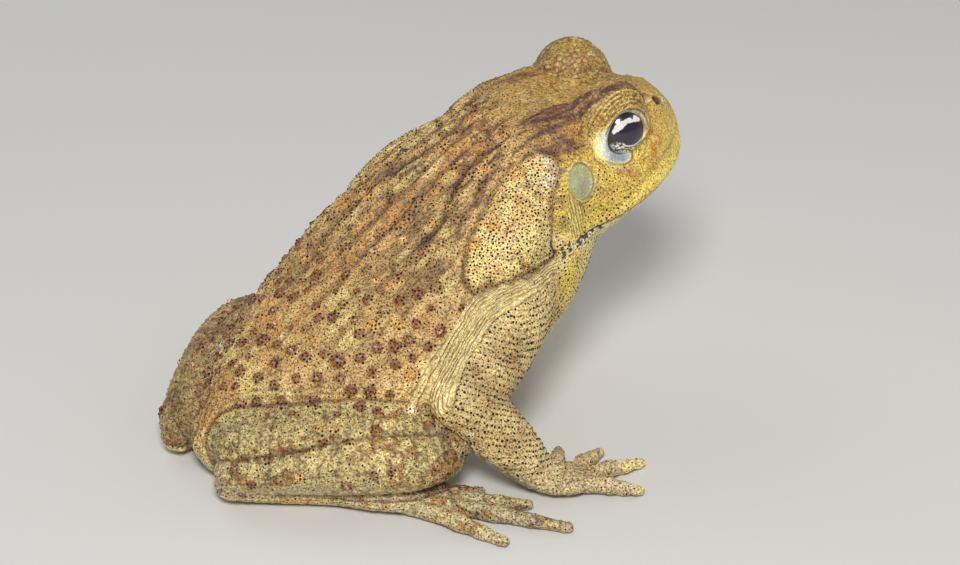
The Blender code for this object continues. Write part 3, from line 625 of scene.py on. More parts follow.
def lids(points):
    """Shape the skin round each eyeball: lids just outside it, and an opening the ball fills."""
    for side in SIDES:
        head = to_head(points)
        x, y, facing, distance, direction = eye_plane(head, side)
        reach = opening(x, y, facing)
        outside = ease((reach - 0.95) / 0.09)
        rim = bump((reach - 1.1) / 0.13)
        fold = bump((reach - 1.36) / 0.1)
        wanted = (EYE_RADIUS + (LID + LID_RIM * rim - LID_FOLD * fold) * outside
                  - BALL_COVER * (1 - outside))
        share = bump((distance - EYE_RADIUS - LID) / 3.4) * ease((facing + 0.1) / 0.3)
        share = np.maximum(share, ease((EYE_RADIUS + 4.6 - distance) / 1.4) * (reach < 1.0))
        share = np.where(distance < EYE_RADIUS - 3.5, 0.0, share)[:, None]
        moved = mirror(EYE_CENTRE, side) + direction * (
            distance[:, None] + (wanted - distance)[:, None] * share)
        points = from_head(*(head * (1 - share) + moved * share).T)
    return points


def limb_point(rows, t, angle):
    """Point of a limb's surface, t from 0 to 1 along it; the angle runs round it from above."""
    line = smooth_rows(rows, 8)
    last = len(line) - 1
    at = t * last
    row = [np.interp(at, np.arange(last + 1), column) for column in line.T]
    ahead = unit(line[min(int(at) + 1, last), :3] - line[max(int(at) - 1, 0), :3])
    across, upward = section(ahead)
    return np.array(row[:3]) + across * math.sin(angle) * row[3] + upward * math.cos(angle) * row[4]


def spread(draw, apart, wanted, kept):
    """Points from draw(), each at least its own distance away from those already kept."""
    points = []
    for _ in range(wanted):
        point = draw()
        if all(np.linalg.norm(point - other) > apart for other in kept + points):
            points.append(point)
    return points


def wart_sites():
    """Places of warts, large ones where the solids have them, then smaller ones between."""
    rng = random.Random(WART_SEED)
    glands = [np.array(row[:3]) for side in SIDES for row in gland_of(side)]

    def on_back(start=2.0, end=72.0):
        while True:
            point = body_point(rng.uniform(start, end), math.radians(rng.uniform(-12, 192)))
            clear = min(np.linalg.norm(point - gland) for gland in glands) > 12
            middle = abs(point[1]) < 2.0 and point[2] > 30
            if clear and not middle:
                return point

    def warts(kind, draw, kept):
        apart, tries, *_ = WARTS[kind]
        return spread(draw, apart, tries, kept)

    large = warts("large", on_back, [])
    limbs = []
    for side in SIDES:
        rows_of = ((side_of(THIGH, side), 0.15, 0.95), (side_of(SHANK, side), 0.05, 0.95),
                   (arm_of(UPPER_ARM, side), 0.3, 1.0), (arm_of(FOREARM, side), 0.0, 0.8))
        for rows, start, end in rows_of:
            limbs += warts("limb", lambda: limb_point(rows, rng.uniform(start, end),
                                                      rng.uniform(-1.8, 1.8)), large + limbs)
    small = warts("small", on_back, large + limbs)
    tiny = []
    for side in SIDES:
        for rows in (side_of(THIGH, side), side_of(SHANK, side)):
            tiny += warts("tiny", lambda: limb_point(rows, rng.uniform(0, 1), rng.uniform(-2.4, 2.4)),
                          large + limbs + small + tiny)
    sites = []
    for kind, group in (("large", large), ("limb", limbs), ("small", small), ("tiny", tiny)):
        _, _, radii, heights = WARTS[kind]
        for point in group:
            sites.append((point, rng.uniform(*radii), rng.uniform(*heights), rng.random()))
    return sites


# The eye, in millimetres from its pole. Curves go by angle from straight ahead over the top. The
# pupil and the crescent follow points picked by hand on the photo, which a scratch script turned
# into these angles and distances. The lids' opening above began as that script's fit.
PUPIL_CENTRE = (0.25, -0.3)
PUPIL_LONG = 2.55
PUPIL_HIGH = 2.3
EYE_RINGS = 110
EYE_SIDES = 180
CRESCENT_MIDDLE = [(0, 3.5), (43, 3.4), (57, 3.2), (71, 3.1), (83, 2.8), (104, 2.82), (117, 2.9),
                   (130, 3.0), (145, 3.17), (157, 3.42), (171, 3.72), (360, 3.8)]
CRESCENT_HALF = [(0, 0), (36, 0), (43, 0.25), (57, 0.62), (71, 0.72), (83, 0.54), (104, 0.52),
                 (117, 0.55), (130, 0.62), (145, 0.75), (157, 0.66), (171, 0.30), (178, 0),
                 (360, 0)]
RIM_WIDE = [(0, 0.3), (60, 0.3), (110, 0.35), (150, 0.8), (175, 1.9), (200, 2.3), (230, 1.7),
            (260, 1.2), (290, 0.7), (330, 0.3), (360, 0.3)]

# Skin tones. They were set first, then tuned by comparing the measured averages of about 25
# regions in the photo and in the render.
BACK_TONE = (0.58, 0.38, 0.13)
FLANK_TONE = (0.92, 0.68, 0.27)
BELLY_TONE = (0.70, 0.60, 0.34)
FACE_TONE = (0.60, 0.40, 0.07)
CHEEK_TONE = (0.90, 0.69, 0.14)
CROWN_TONE = (0.47, 0.29, 0.085)
DARK_TONE = (0.075, 0.032, 0.022)
GLAND_TONE = (0.88, 0.69, 0.30)
GLAND_CREAM = (0.95, 0.84, 0.58)
YELLOW_TONE = (0.88, 0.71, 0.26)
ORANGE_TONE = (0.68, 0.36, 0.08)
ARM_TONE = (0.78, 0.61, 0.27)
LEG_TONE = (0.50, 0.41, 0.17)
GREY_TONE = (0.54, 0.46, 0.30)
THROAT_TONE = (0.90, 0.76, 0.32)
PLEAT_TONE = (0.84, 0.68, 0.30)
MAROON_TONE = (0.23, 0.068, 0.03)
BROWN_TONE = (0.34, 0.18, 0.06)
PURPLE_TONE = (0.19, 0.09, 0.06)
WHITE_TONE = (0.74, 0.76, 0.66)
EAR_TONE = (0.37, 0.37, 0.19)
EAR_PURPLE = (0.40, 0.30, 0.29)
CANDIDATES = 200000

# Lines of the toad's right side, which the left side mirrors. Most of their points were picked by
# hand on the photo, and a scratch script cast them onto the form and printed these millimetres.
GLAND_TOP = [(75.8, 59.5), (72.1, 60.9), (69.8, 60.4), (63.6, 56.8), (58.5, 53.3), (55.2, 50.7),
             (51.9, 47.8), (48.9, 44.5), (47.2, 41.4)]
GLAND_FOLD = [(47.2, 41.4), (48.0, 39.2), (50.1, 39.2), (53.3, 40.3), (56.9, 40.8), (60.2, 41.0),
              (66.2, 41.9), (68.3, 43.0)]
GLAND_FRONT = [(68.3, 43.0), (67.4, 45.2), (68.2, 48.7), (69.7, 52), (72.6, 55.4), (75.8, 59.5)]
LEFT_GLAND_STRETCH = 1.12
PLEAT_BACK = [(30.4, 27.9, 17.5), (31.7, 27.9, 20.0), (33.7, 27.9, 23.9), (36.9, 27.8, 27.8),
              (40.8, 27.3, 32.1), (44.3, 26.6, 35.3), (48.0, 25.9, 38.5), (53.5, 26.8, 40.3),
              (60, 27.6, 41.0), (67, 26.5, 42.0)]
PLEAT_FRONT = [(34.3, 36.2, 23.2), (35.7, 35.3, 24.8), (38.3, 34.0, 27.3), (41.7, 32.4, 30.1),
               (45.6, 31.3, 33.1), (49.5, 30.7, 35.5), (54.5, 30.6, 36.9), (61, 29.6, 37.4),
               (68, 26.0, 38.6)]
PLEAT_GAP = [(30, 10.2), (34, 9.4), (37, 7.6), (41, 6.0), (52, 6.0), (60, 4.8), (68, 4.2)]
PLEAT_WIDE = 6.5
# Grooves of the back: line, depth, half width, and darkness of the painted shade in them.
GROOVES = [
    ([(70.5, 4.2, 62.1), (65.1, 2.4, 60), (60.4, 1.9, 57.5), (52.9, 3.0, 53.1), (46, 3.2, 49),
      (36, 2.8, 42.5), (24, 2.2, 34.5)], 0.5, 1.0, 0.8),
    ([(66, 4.6, 60.2), (60.2, 2.8, 57.4), (55.1, 1.9, 54.5), (50.5, 1.9, 51.8),
      (42.2, 2.4, 46.5), (33, 2.6, 40.5)], 0.3, 0.8, 0.5),
    ([(71, 7.4, 62.0), (65.5, 6.4, 60.1), (61.3, 6.2, 57.8), (58.1, 7.2, 55.8), (53.8, 9.0, 52.9),
      (50.7, 10.3, 50.8), (47.7, 11.6, 48.6), (39.2, 11.6, 43.2), (32.1, 10.5, 38.5),
      (23.4, 8.5, 33.2)], 0.6, 1.2, 0.9),
    ([(66, 11.5, 59.0), (60, 11.8, 55.6), (55.5, 13.4, 52.0), (50.8, 15.6, 48.6),
      (45.8, 17.4, 44.6), (40, 18.6, 39.5)], 0.45, 1.1, 0.7),
]
BAND_LOW = [(-22.7, 14.7, -1.6), (-18.2, 14.1, 0.4), (-13.4, 13.5, 1.7), (-8.6, 12.9, 3.3),
            (-5.4, 14.4, 6.1), (-2.0, 14.3, 7.4), (2.3, 12.9, 7.2), (5.5, 13.1, 4.8),
            (7.6, 11.4, 2.6)]
BAND_HIGH = [(-24.1, 9.0, -1.2), (-19.4, 8.5, 1.3), (-14.6, 7.9, 2.6), (-9.9, 7.6, 3.0),
             (-6.8, 11.0, 6.2), (-2.8, 12.4, 8.0), (1.5, 11.5, 7.8), (5.5, 11.2, 6.0),
             (7.6, 10.4, 3.4)]
BAND_GAP = [(-24, 6.4), (-10, 5.8), (-7, 4.0), (-2.8, 2.4), (2, 1.9), (8, 1.6)]
BROW_FOOT = [(-13.6, 9.6, 2.7), (-8.4, 7.8, 3.4), (-2.7, 5.0, 4.0), (4.7, 5.2, 2.8),
             (10.2, 5.0, 0.5)]
BEHIND_EYE = [(-8.5, 14.2, 1.8), (-11.5, 15.8, -0.3), (-15, 17.0, -2.2), (-20, 16.8, -2.6)]
CANTHUS = [(4.2, 14.2, 5.2), (8.5, 9.6, 3.0), (11.7, 6.7, 1.5), (14.2, 5.4, -0.4)]
CHEEK_BAND = [(6.2, 14.0, 2.2), (7.6, 13.3, -1.7), (8.8, 13.5, -5.4), (8.0, 15.5, -7.9),
              (5.4, 17.7, -9.5), (1.9, 19.5, -10.1)]
UNDER_EYE = [(-7.5, 19.0, -5.2), (-6.2, 19.2, -6.2), (-3.8, 19.6, -7.6), (-1.5, 19.6, -9.0),
             (1.2, 19.0, -9.4)]
LIP_HIGH = [(-10, 1.2), (-6, 2.0), (-2, 3.2), (6, 4.5), (12, 5.3), (20, 5.6)]
MOUTH_PATCH = [(-6.3, 23.5, -18.2), (-10.6, 24.6, -19.3), (-14, 26.2, -20.0), (-17.8, 28.2, -20.8)]
EAR_FOLDS = (-14.2, -14.0)
PLEAT_PITCH = 0.85
HOOD_ROW_APART = 0.78
SHOULDER = (58, 23, 41)     # middle of the arms' rows of dots
ARM_ROW_APART = 1.22
FOOT_HIGH = 6.5
# Cross wrinkles of each limb: their number and height.
WRINKLES = (("shank", 19, 0.20), ("thigh", 17, 0.26), ("upper_arm", 22, 0.10),
            ("forearm", 15, 0.10))
PER_METRE = 1000.0          # shader coordinates in millimetres


def toned(colours, tone, share):
    """Colours mixed with a tone by a share for each point."""
    share = np.clip(share, 0, 1)[:, None]
    return colours * (1 - share) + np.array(tone) * share


class Skin:
    """The skin's points with the regions they lie in, and what is raised and painted on them."""

    def __init__(self, mesh):
        self.points, self.normals = read_mesh(mesh)
        self.head = to_head(self.points)
        self.up = self.normals[:, 2]
        count = len(self.points)
        for name in ("lift", "dark_and_shade", "stripe", "stripe_share", "rows", "wart", "near_eye"):
            setattr(self, name, np.zeros(count))
        self.colours = np.tile(np.array(FLANK_TONE), (count, 1))
        self.wide = noise(self.points, 9.0, 3, 2)
        self.mid = noise(self.points, 3.2, 5, 2)
        self.small = noise(self.points, 1.5, 6, 2)
        self.tiny = noise(self.points, 0.8, 14, 1)
        self.find_limbs()
        self.find_glands()
        self.find_face()
        self.find_pleats()
        self.arm = self.arm * (1 - self.gland) * (1 - self.pleats)
        self.back = ease((self.up - 0.05) / 0.3) * ease((self.head[:, 0] + 14) / -6)
        self.back *= (1 - self.gland) * (1 - self.leg) * (1 - self.arm)
        self.limb = np.maximum(self.arm, self.leg)

    def find_limbs(self):
        p = self.points
        self.tubes = {}
        for side in SIDES:
            for name, rows in (("upper_arm", arm_of(UPPER_ARM, side)),
                               ("forearm", arm_of(FOREARM, side)),
                               ("thigh", side_of(THIGH, side)), ("shank", side_of(SHANK, side))):
                self.tubes[name, side] = tube(p, rows)

        def inside(names, edge):
            return np.maximum.reduce([ease((edge - self.tubes[name, side][0]) / 0.12)
                                      for name in names for side in SIDES])

        low = p[:, 2] < FOOT_HIGH
        arm = inside(("upper_arm", "forearm"), 1.24)
        arm *= ease((47 - p[:, 2] + 0.4 * (50 - p[:, 0])) / 4)
        hand = low * ease((p[:, 0] - 47) / 3) * ease((np.abs(p[:, 1] - 1) - 34) / 3)
        foot = low * ease((np.abs(p[:, 1]) - 24) / 4) * ease((49 - p[:, 0]) / 4) * (1 - arm)
        self.arm = np.maximum(arm, hand)
        self.leg = np.maximum(inside(("thigh", "shank"), 1.22), foot)

    def find_glands(self):
        self.gland_depth, self.gland_edges = {}, {}
        for side in SIDES:
            self.gland_depth[side], self.gland_edges[side] = gland_depth(self.points, side)
        self.gland = np.maximum(*[ease((self.gland_depth[side] + 0.2) / 0.7) for side in SIDES])

    def find_face(self):
        self.on_head = ease((self.head[:, 0] + 24) / 7) * ease((self.points[:, 2] - 24) / 6)
        self.ear = {side: ear_reach(self.head, side) for side in SIDES}
        self.any_ear = np.minimum(self.ear[1], self.ear[-1])
        self.mouth = above_mouth(self.head)
        self.front = ease((self.head[:, 0] - MOUTH_CORNER + 1) / 3)

    def find_pleats(self):
        self.pleat = {side: pleat_place(self.points, side) for side in SIDES}
        self.pleats = np.maximum(*[self.pleat[side][1] for side in SIDES])
        self.pleats = self.pleats * (1 - self.gland) * (1 - self.leg)

    def paint(self, tone, share):
        self.colours = toned(self.colours, tone, share)

    # The darkness mixed over the tint at the end: dark markings, and painted shade in grooves, folds,
    # pits and along the lids.
    def darken(self, share):
        self.dark_and_shade = np.maximum(self.dark_and_shade, share)

    def draw_stripes(self, across, share, shown=1.0):
        """Where the share is the largest so far, stripes run with the given place across them."""
        self.stripe = np.where(share > self.stripe_share, across, self.stripe)
        self.stripe_share = np.maximum(self.stripe_share, share * shown)


def gland_depth(points, side):
    """Distance in from the outline of the gland, and from its upper, lower and front edges."""
    f, up = points[:, 0], points[:, 2]
    if side > 0:
        f = GLAND_TOP[-1][0] + (f - GLAND_TOP[-1][0]) / LEFT_GLAND_STRETCH
        up = up + LEFT_GLAND_DROP
    curves = [smooth_rows(line, 4) for line in (GLAND_TOP, GLAND_FOLD, GLAND_FRONT)]
    edges = [near_line(np.stack([f, up], -1), line) for line in curves]
    outline = np.vstack([line[:-1] for line in curves])
    inside = np.zeros(len(points), bool)
    for (x0, y0), (x1, y1) in zip(outline, np.roll(outline, -1, axis=0)):
        crossing = x0 + (x1 - x0) * (up - y0) / (y1 - y0 + 1e-9)
        inside ^= ((y0 > up) != (y1 > up)) & (f < crossing)
    off = points[:, 1] * side < 9
    depth = np.where(off, 99.0, np.minimum.reduce(edges))
    return np.where(inside & ~off, depth, -depth), [np.where(off, 99.0, edge) for edge in edges]


def ear_reach(head, side):
    """1 on the edge of the eardrum, less inside it."""
    own = mirror(head, side)
    reach = np.hypot((own[:, 0] - EAR_CENTRE[0]) / EAR_WIDE, (own[:, 2] - EAR_CENTRE[2]) / EAR_LONG)
    return np.where(own[:, 1] > 14, reach, 9.0)


def pleat_place(points, side):
    """Place across the pleated skin between flank and arm in millimetres, and how much it shows."""
    own = mirror(points, side)
    if side > 0:
        own = own - (LEFT_ARM_AHEAD * 0.7, -LEFT_ARM_IN * 0.6, 0)
    back, front = near_curve(own, PLEAT_BACK, 3), near_curve(own, PLEAT_FRONT, 3)
    close = ease((curve(PLEAT_GAP, own[:, 0]) * 1.10 + 0.5 - back - front) / 0.8)
    return PLEAT_WIDE * back / np.maximum(back + front, 1e-6), close * (own[:, 0] > 27)


def shape_head(skin):
    """Tones of the whole head and the dent of its crown, then each side's forms, then the lips."""
    head, on_head = skin.head, skin.on_head
    skin.paint(FACE_TONE, on_head)
    skin.paint(BROWN_TONE, on_head * 0.35 * ease((skin.small - 0.1) / 0.5))
    skin.paint(CHEEK_TONE, on_head * ease((-3 - head[:, 2]) / 4) * (0.75 + 0.35 * skin.wide))
    crown = on_head * ease((skin.up - 0.35) / 0.35) * ease((10.5 - np.abs(head[:, 1])) / 2.5)
    skin.paint(CROWN_TONE, crown * ease((13 - head[:, 0]) / 5) * (0.85 + 0.3 * skin.mid))
    skin.paint(YELLOW_TONE, crown * 0.25 * ease((skin.mid - 0.3) / 0.4))
    skin.paint(BROWN_TONE, crown * 0.4 * ease((skin.tiny + 0.6 * skin.small - 0.3) / 0.3))
    jaw = skin.front * ease(-skin.mouth / 0.5)
    throat = (ease((skin.up + 0.1) / -0.3) * ease((skin.points[:, 0] - 60) / 8)
              * ease((skin.points[:, 2] - 14) / 8))
    skin.paint(THROAT_TONE, np.maximum(jaw, throat * 0.9))
    skin.lift -= 0.7 * bump(np.hypot(head[:, 1] / 6.0, (head[:, 0] + 2) / 14)) * (head[:, 2] > -2)
    streaks = noise(head * (0.22, 1, 0.8), 0.9, 45, 2)
    for side in SIDES:
        own = mirror(head, side)
        shape_brow(skin, own)
        shape_band(skin, own, streaks, 1.0 if side < 0 else 0.3)
        shape_cheek(skin, own)
        shape_nostril(skin, own)
        shape_ear(skin, own, skin.ear[side])
    shape_lips(skin)


def shape_brow(skin, own):
    """Mottled brow, and the bony crest over it from the snout to behind the eye, with a painted
    highlight along its front part.
    """
    brow = np.linalg.norm((own - BROW_CENTRE) / BROW_RADII, axis=1)
    on_brow = skin.on_head * ease((1.16 - brow) / 0.12) * ease((own[:, 2] - 0.5) / 2.0)
    skin.paint((0.37, 0.245, 0.06), on_brow * 0.85)
    skin.paint(BROWN_TONE, on_brow * 0.8 * ease((skin.small + 0.5 * skin.mid - 0.1) / 0.4))
    skin.paint(YELLOW_TONE, on_brow * 0.5 * ease((skin.tiny - 0.25) / 0.3))
    crest = near_curve(own, CREST)
    ahead = ease((own[:, 0] - 2) / 8)
    skin.lift += (0.85 - 0.5 * ahead) * bump(crest / 2.4)
    # Painted highlight along the crest ahead of the eye.
    skin.paint(GLAND_CREAM, 0.4 * bump(crest / 0.9) * ahead)


def shape_band(skin, own, streaks, shown):
    """Dark streaked band from the neck over the eye; shown is 1 on the side that has it in full."""
    on_head = skin.on_head
    low, high = near_curve(own, BAND_LOW), near_curve(own, BAND_HIGH)
    band = on_head * ease((curve(BAND_GAP, own[:, 0]) + 1.0 - low - high) / 0.9) * shown
    skin.paint(BROWN_TONE, band * 0.7)
    skin.paint(PURPLE_TONE, band * (0.65 + 0.7 * streaks))
    skin.darken(band * 0.75 * ease((streaks - 0.1) / 0.35))
    skin.darken((0.8 if shown == 1 else 0.3) * bump((low + 0.3 * skin.small) / 0.75))
    skin.lift -= 0.22 * band * streaks
    behind = on_head * ease((-8.0 - own[:, 0]) / 1.6) * ease((own[:, 1] - 11.5) / 1.2) * (1 - band)
    behind *= ease((own[:, 2] + 4.2) / 1.4) * (own[:, 2] < 5) * (1 - skin.gland)
    skin.paint(BROWN_TONE, behind * 0.75)
    skin.paint(PURPLE_TONE, behind * 0.8 * ease((streaks + 0.1) / 0.4))
    skin.paint(ORANGE_TONE, behind * 0.6 * ease((skin.small - 0.2) / 0.3))
    rear = on_head * ease((-11 - own[:, 0]) / 5) * ease((own[:, 1] - 5) / 4) * (1 - skin.gland)
    rear *= ease((skin.up - 0.1) / 0.3)
    skin.paint(PURPLE_TONE, rear * 0.6 * ease((streaks + 0.25) / 0.4))
    foot = near_curve(own, BROW_FOOT)
    skin.lift -= 0.2 * bump(foot / 0.8)
    skin.paint(MAROON_TONE, 0.75 * bump((foot + 0.3 * skin.small) / 1.1))


def shape_cheek(skin, own):
    """Ridge from eye to nostril, brown bands in front of the eye and below it, fold behind it."""
    canthus = near_curve(own, CANTHUS)
    skin.lift += 0.3 * bump(canthus / 1.8)
    skin.paint(BROWN_TONE, 0.65 * bump(canthus / 1.2))
    cheek, under = near_curve(own, CHEEK_BAND), near_curve(own, UNDER_EYE)
    skin.paint((0.48, 0.23, 0.05), (0.65 + 0.9 * skin.small) * bump(cheek / 3.0) * (own[:, 1] > 8))
    skin.paint((0.38, 0.17, 0.06), (0.7 + 0.6 * skin.small) * bump(under / 1.5))
    rear = skin.on_head * ease((4 - own[:, 0]) / 6) * ease((-6 - own[:, 2]) / 3) * (own[:, 1] > 14)
    skin.paint(BROWN_TONE, rear * 0.45 * ease((skin.small + skin.mid * 0.5 - 0.25) / 0.4))
    skin.lift += 0.45 * bump(near_curve(own, BEHIND_EYE) / 1.8)


def shape_nostril(skin, own):
    """Pit with a raised rim and painted shade inside, on the skin's point nearest to its place."""
    nearest = own[np.argmin(np.linalg.norm(own - NOSTRIL, axis=1))]
    hole = np.linalg.norm((own - nearest) / (1.0, 1.0, 1.15), axis=1)
    skin.paint((0.50, 0.42, 0.13), 0.85 * bump(hole / 3.0))
    skin.lift += 0.3 * bump((hole - 1.7) / 1.0) - 1.8 * bump(hole / 1.2)
    # Painted shade inside the pit.
    skin.darken(ease((1.35 - hole) / 0.5))


def shape_ear(skin, own, ear):
    """Blotched patch at the mouth's corner, the eardrum in its ring, and the folds below it."""
    patch = near_line(own, MOUTH_PATCH)
    skin.paint(WHITE_TONE, bump((patch + 0.6) / 2.4))
    blotch = ease((0.50 - cells(skin.points, 1.25, 21)) / 0.1)
    skin.darken(blotch * ease((1.9 - patch) / 0.5))
    ahead, above = own[:, 0] - EAR_CENTRE[0], own[:, 2] - EAR_CENTRE[2]
    skin.lift += (0.4 * bump((ear - 1.2) / 0.2) - 0.45 * ease((1.08 - ear) / 0.1)
                  + 0.35 * ease((0.95 - ear) / 0.9))
    skin.paint((0.72, 0.60, 0.24), bump((ear - 1.18) / 0.22))
    skin.paint(EAR_TONE, ease((1.06 - ear) / 0.08))
    middle = np.hypot((ahead - 0.7) / 2.1, (above + 1.0) / 2.5)
    skin.paint(EAR_PURPLE, 0.8 * bump(middle) * (ear < 1))
    skin.darken(0.85 * bump((ear - 1.09) / 0.08) * ease((ahead + 1.5) / 1.0))
    folds = bump((own[:, 0] - EAR_FOLDS[0]) / 2.6) * bump((own[:, 2] - EAR_FOLDS[1]) / 6.5)
    folds = ease(folds * (own[:, 1] > 17) / 0.3) * (1 - skin.gland) * (ear > 1.2)
    skin.paint((0.84, 0.68, 0.20), folds * 0.9)
    skin.draw_stripes(own[:, 0] * 1.2 + 0.15 * own[:, 2], folds, 0.9)


def shape_lips(skin):
    """Line of the mouth with painted shade in it, a yellow upper lip and a pale lower one."""
    front, mouth, ahead = skin.front, skin.mouth, skin.head[:, 0]
    skin.lift += front * (0.30 * bump((mouth - 1.4) / 1.5) - 0.9 * bump(mouth / 0.5)
                          + 0.1 * bump((mouth + 1.3) / 1.1))
    lip = mouth / curve(LIP_HIGH, ahead)
    yellow = front * ease((1.05 - lip) / 0.25) * ease(mouth / 0.3) * (ahead > -9)
    skin.paint((0.93, 0.73, 0.16), yellow * 0.85)
    edge = front * bump((lip - 1.08) / 0.14) * (ahead > -6) * (0.8 + 0.6 * skin.small)
    skin.paint(BROWN_TONE, edge * 0.55)
    # Painted shade in the line of the mouth.
    skin.darken(front * bump(mouth / 0.5) * 0.92)
    skin.paint((0.84, 0.78, 0.50), front * bump((mouth + 0.9) / 0.8) * 0.8)


def shape_glands(skin):
    """Swollen glands, pale ahead and orange along the top, in grooves with painted shade."""
    mid, small = skin.mid, skin.small
    for side in SIDES:
        depth, (top, fold, ahead) = skin.gland_depth[side], skin.gland_edges[side]
        top = top / np.clip(1.2 * np.abs(skin.normals[:, 1]), 0.3, 1)
        wavy = 0.25 * small
        skin.lift += 0.9 * ease(depth / 5.0) - 0.6 * bump((top + wavy) / 0.9) * (depth > -2)
        skin.lift -= 0.9 * bump((fold + 0.3) / 1.0) + 0.35 * bump(ahead / 0.7)
        inside = ease((depth + 0.2) / 0.6)
        for tone, share in (
                (GLAND_TONE, 1.0),
                (YELLOW_TONE, ease((mid + 0.35) / 0.5) * 0.85),
                (GLAND_CREAM, ease((mid * 0.6 + (skin.points[:, 0] - 68) / 10) / 0.6) * 0.7),
                ((0.80, 0.50, 0.14), 0.6 * ease((-mid + 0.3 * small - 0.2) / 0.3)),
                (ORANGE_TONE, 0.75 * bump((top - 0.8 + 0.8 * mid) / 1.9) * (0.7 + 0.6 * small)),
                (BROWN_TONE, 0.55 * ease((skin.tiny + 0.5 * small - 0.2) / 0.3)),
                (BROWN_TONE, 0.7 * bump((ahead - 0.5 + 0.6 * mid) / 1.8)),
                (MAROON_TONE, 0.7 * bump((fold - 0.6 + 0.6 * mid) / 1.5))):
            skin.paint(tone, inside * share)
        # Painted shade in the grooves at the glands' top, fold and front.
        skin.darken((0.65 + 0.4 * mid) * bump((top + wavy) / 0.7))
        skin.darken((0.75 + 0.3 * mid) * bump((fold + wavy) / 0.6))
        skin.darken((0.6 + 0.4 * mid) * bump((ahead + wavy) / 0.45))


def shape_back(skin):
    """Grooves, ridges and streaks of the back, then the tones of the flanks."""
    p, back, mid = skin.points, skin.back, skin.mid
    wander = np.stack([mid, noise(p, 4.0, 8), noise(p, 4.0, 9)], -1) * 0.7
    fading = back * (0.55 + 0.45 * ease((p[:, 0] - 34) / 14))
    for side in SIDES:
        own = np.stack([p[:, 0], (p[:, 1] - neck_bend(p[:, 0])) * side, p[:, 2]], -1) + wander
        for line, deep, wide, tone in GROOVES:
            line = np.array(line) - [(0, neck_bend(f, 0.35), 0) for f, _, _ in line]
            away = near_curve(own, line, 3)
            skin.lift -= fading * (deep * bump(away / wide) - 0.3 * bump((away - 2.0) / 1.4))
            # Painted shade in each groove.
            skin.darken(fading * tone * bump(away / (wide * 0.75)))
            skin.paint(PURPLE_TONE, fading * 0.5 * bump(away / (wide * 1.8)))
    drawn = np.stack([(0.76 * p[:, 0] + 0.65 * p[:, 2]) * 0.28, p[:, 1] * 0.95,
                      0.76 * p[:, 2] - 0.65 * p[:, 0]], -1)
    ridges, fine = noise(drawn, 1.9, 12, 2), noise(drawn, 0.9, 13, 2)
    widest = curve(WIDEST, p[:, 0])
    high = ease(((p[:, 2] - widest) / (curve(BACK, p[:, 0]) - widest) - 0.42) / 0.3)
    streaky = back * np.maximum(high, ease((p[:, 0] - 50) / 10))
    streaky *= 0.35 + 0.65 * ease((p[:, 0] - 20) / 25)
    skin.lift += back * 0.28 * ridges
    neck = back * ease((p[:, 0] - 48) / 14)
    crest = back * ease((8 - np.abs(p[:, 1])) / 5)
    flank = (1 - back) * (1 - skin.gland) * (1 - skin.leg) * (1 - skin.arm) * (1 - skin.on_head)
    low = ease((34 - p[:, 2]) / 12) * ease((50 - p[:, 0]) / 12)
    # The dark streaks fall in the troughs of the ridges and the yellow leans to their tops: dark and
    # yellow skin, and also painted shade and highlight on the relief.
    for tone, share in (
            (DARK_TONE, streaky * (0.5 + 0.2 * neck) * ease((-ridges - 0.1) / 0.45)),
            (PURPLE_TONE, neck * 0.8 * ease((fine + 0.05) / 0.4)),
            (DARK_TONE, streaky * 0.55 * ease((fine - 0.25) / 0.3)),
            (ORANGE_TONE, back * 0.6 * ease((skin.wide - 0.25) / 0.4) * ease((mid + 0.1) / 0.5)),
            (BROWN_TONE, back * 0.35 * ease((52 - p[:, 0]) / 14) * ease((fine + 0.2) / 0.4)),
            ((0.52, 0.25, 0.06), crest * 0.55 * ease((skin.small + 0.25) / 0.4)),
            (YELLOW_TONE, back * 0.6 * ease((ridges * 0.5 - skin.wide * 0.6 - 0.15) / 0.4)),
            (ORANGE_TONE, flank * 0.6 * low * ease((skin.wide + 0.25) / 0.5)),
            (YELLOW_TONE, flank * 0.6 * ease((mid - 0.05) / 0.4)),
            (BROWN_TONE, flank * 0.3 * ease((-mid - 0.3) / 0.4)),
            (BROWN_TONE, flank * 0.4 * ease((fine - 0.2) / 0.35) * (skin.up > -0.3))):
        skin.paint(tone, share)


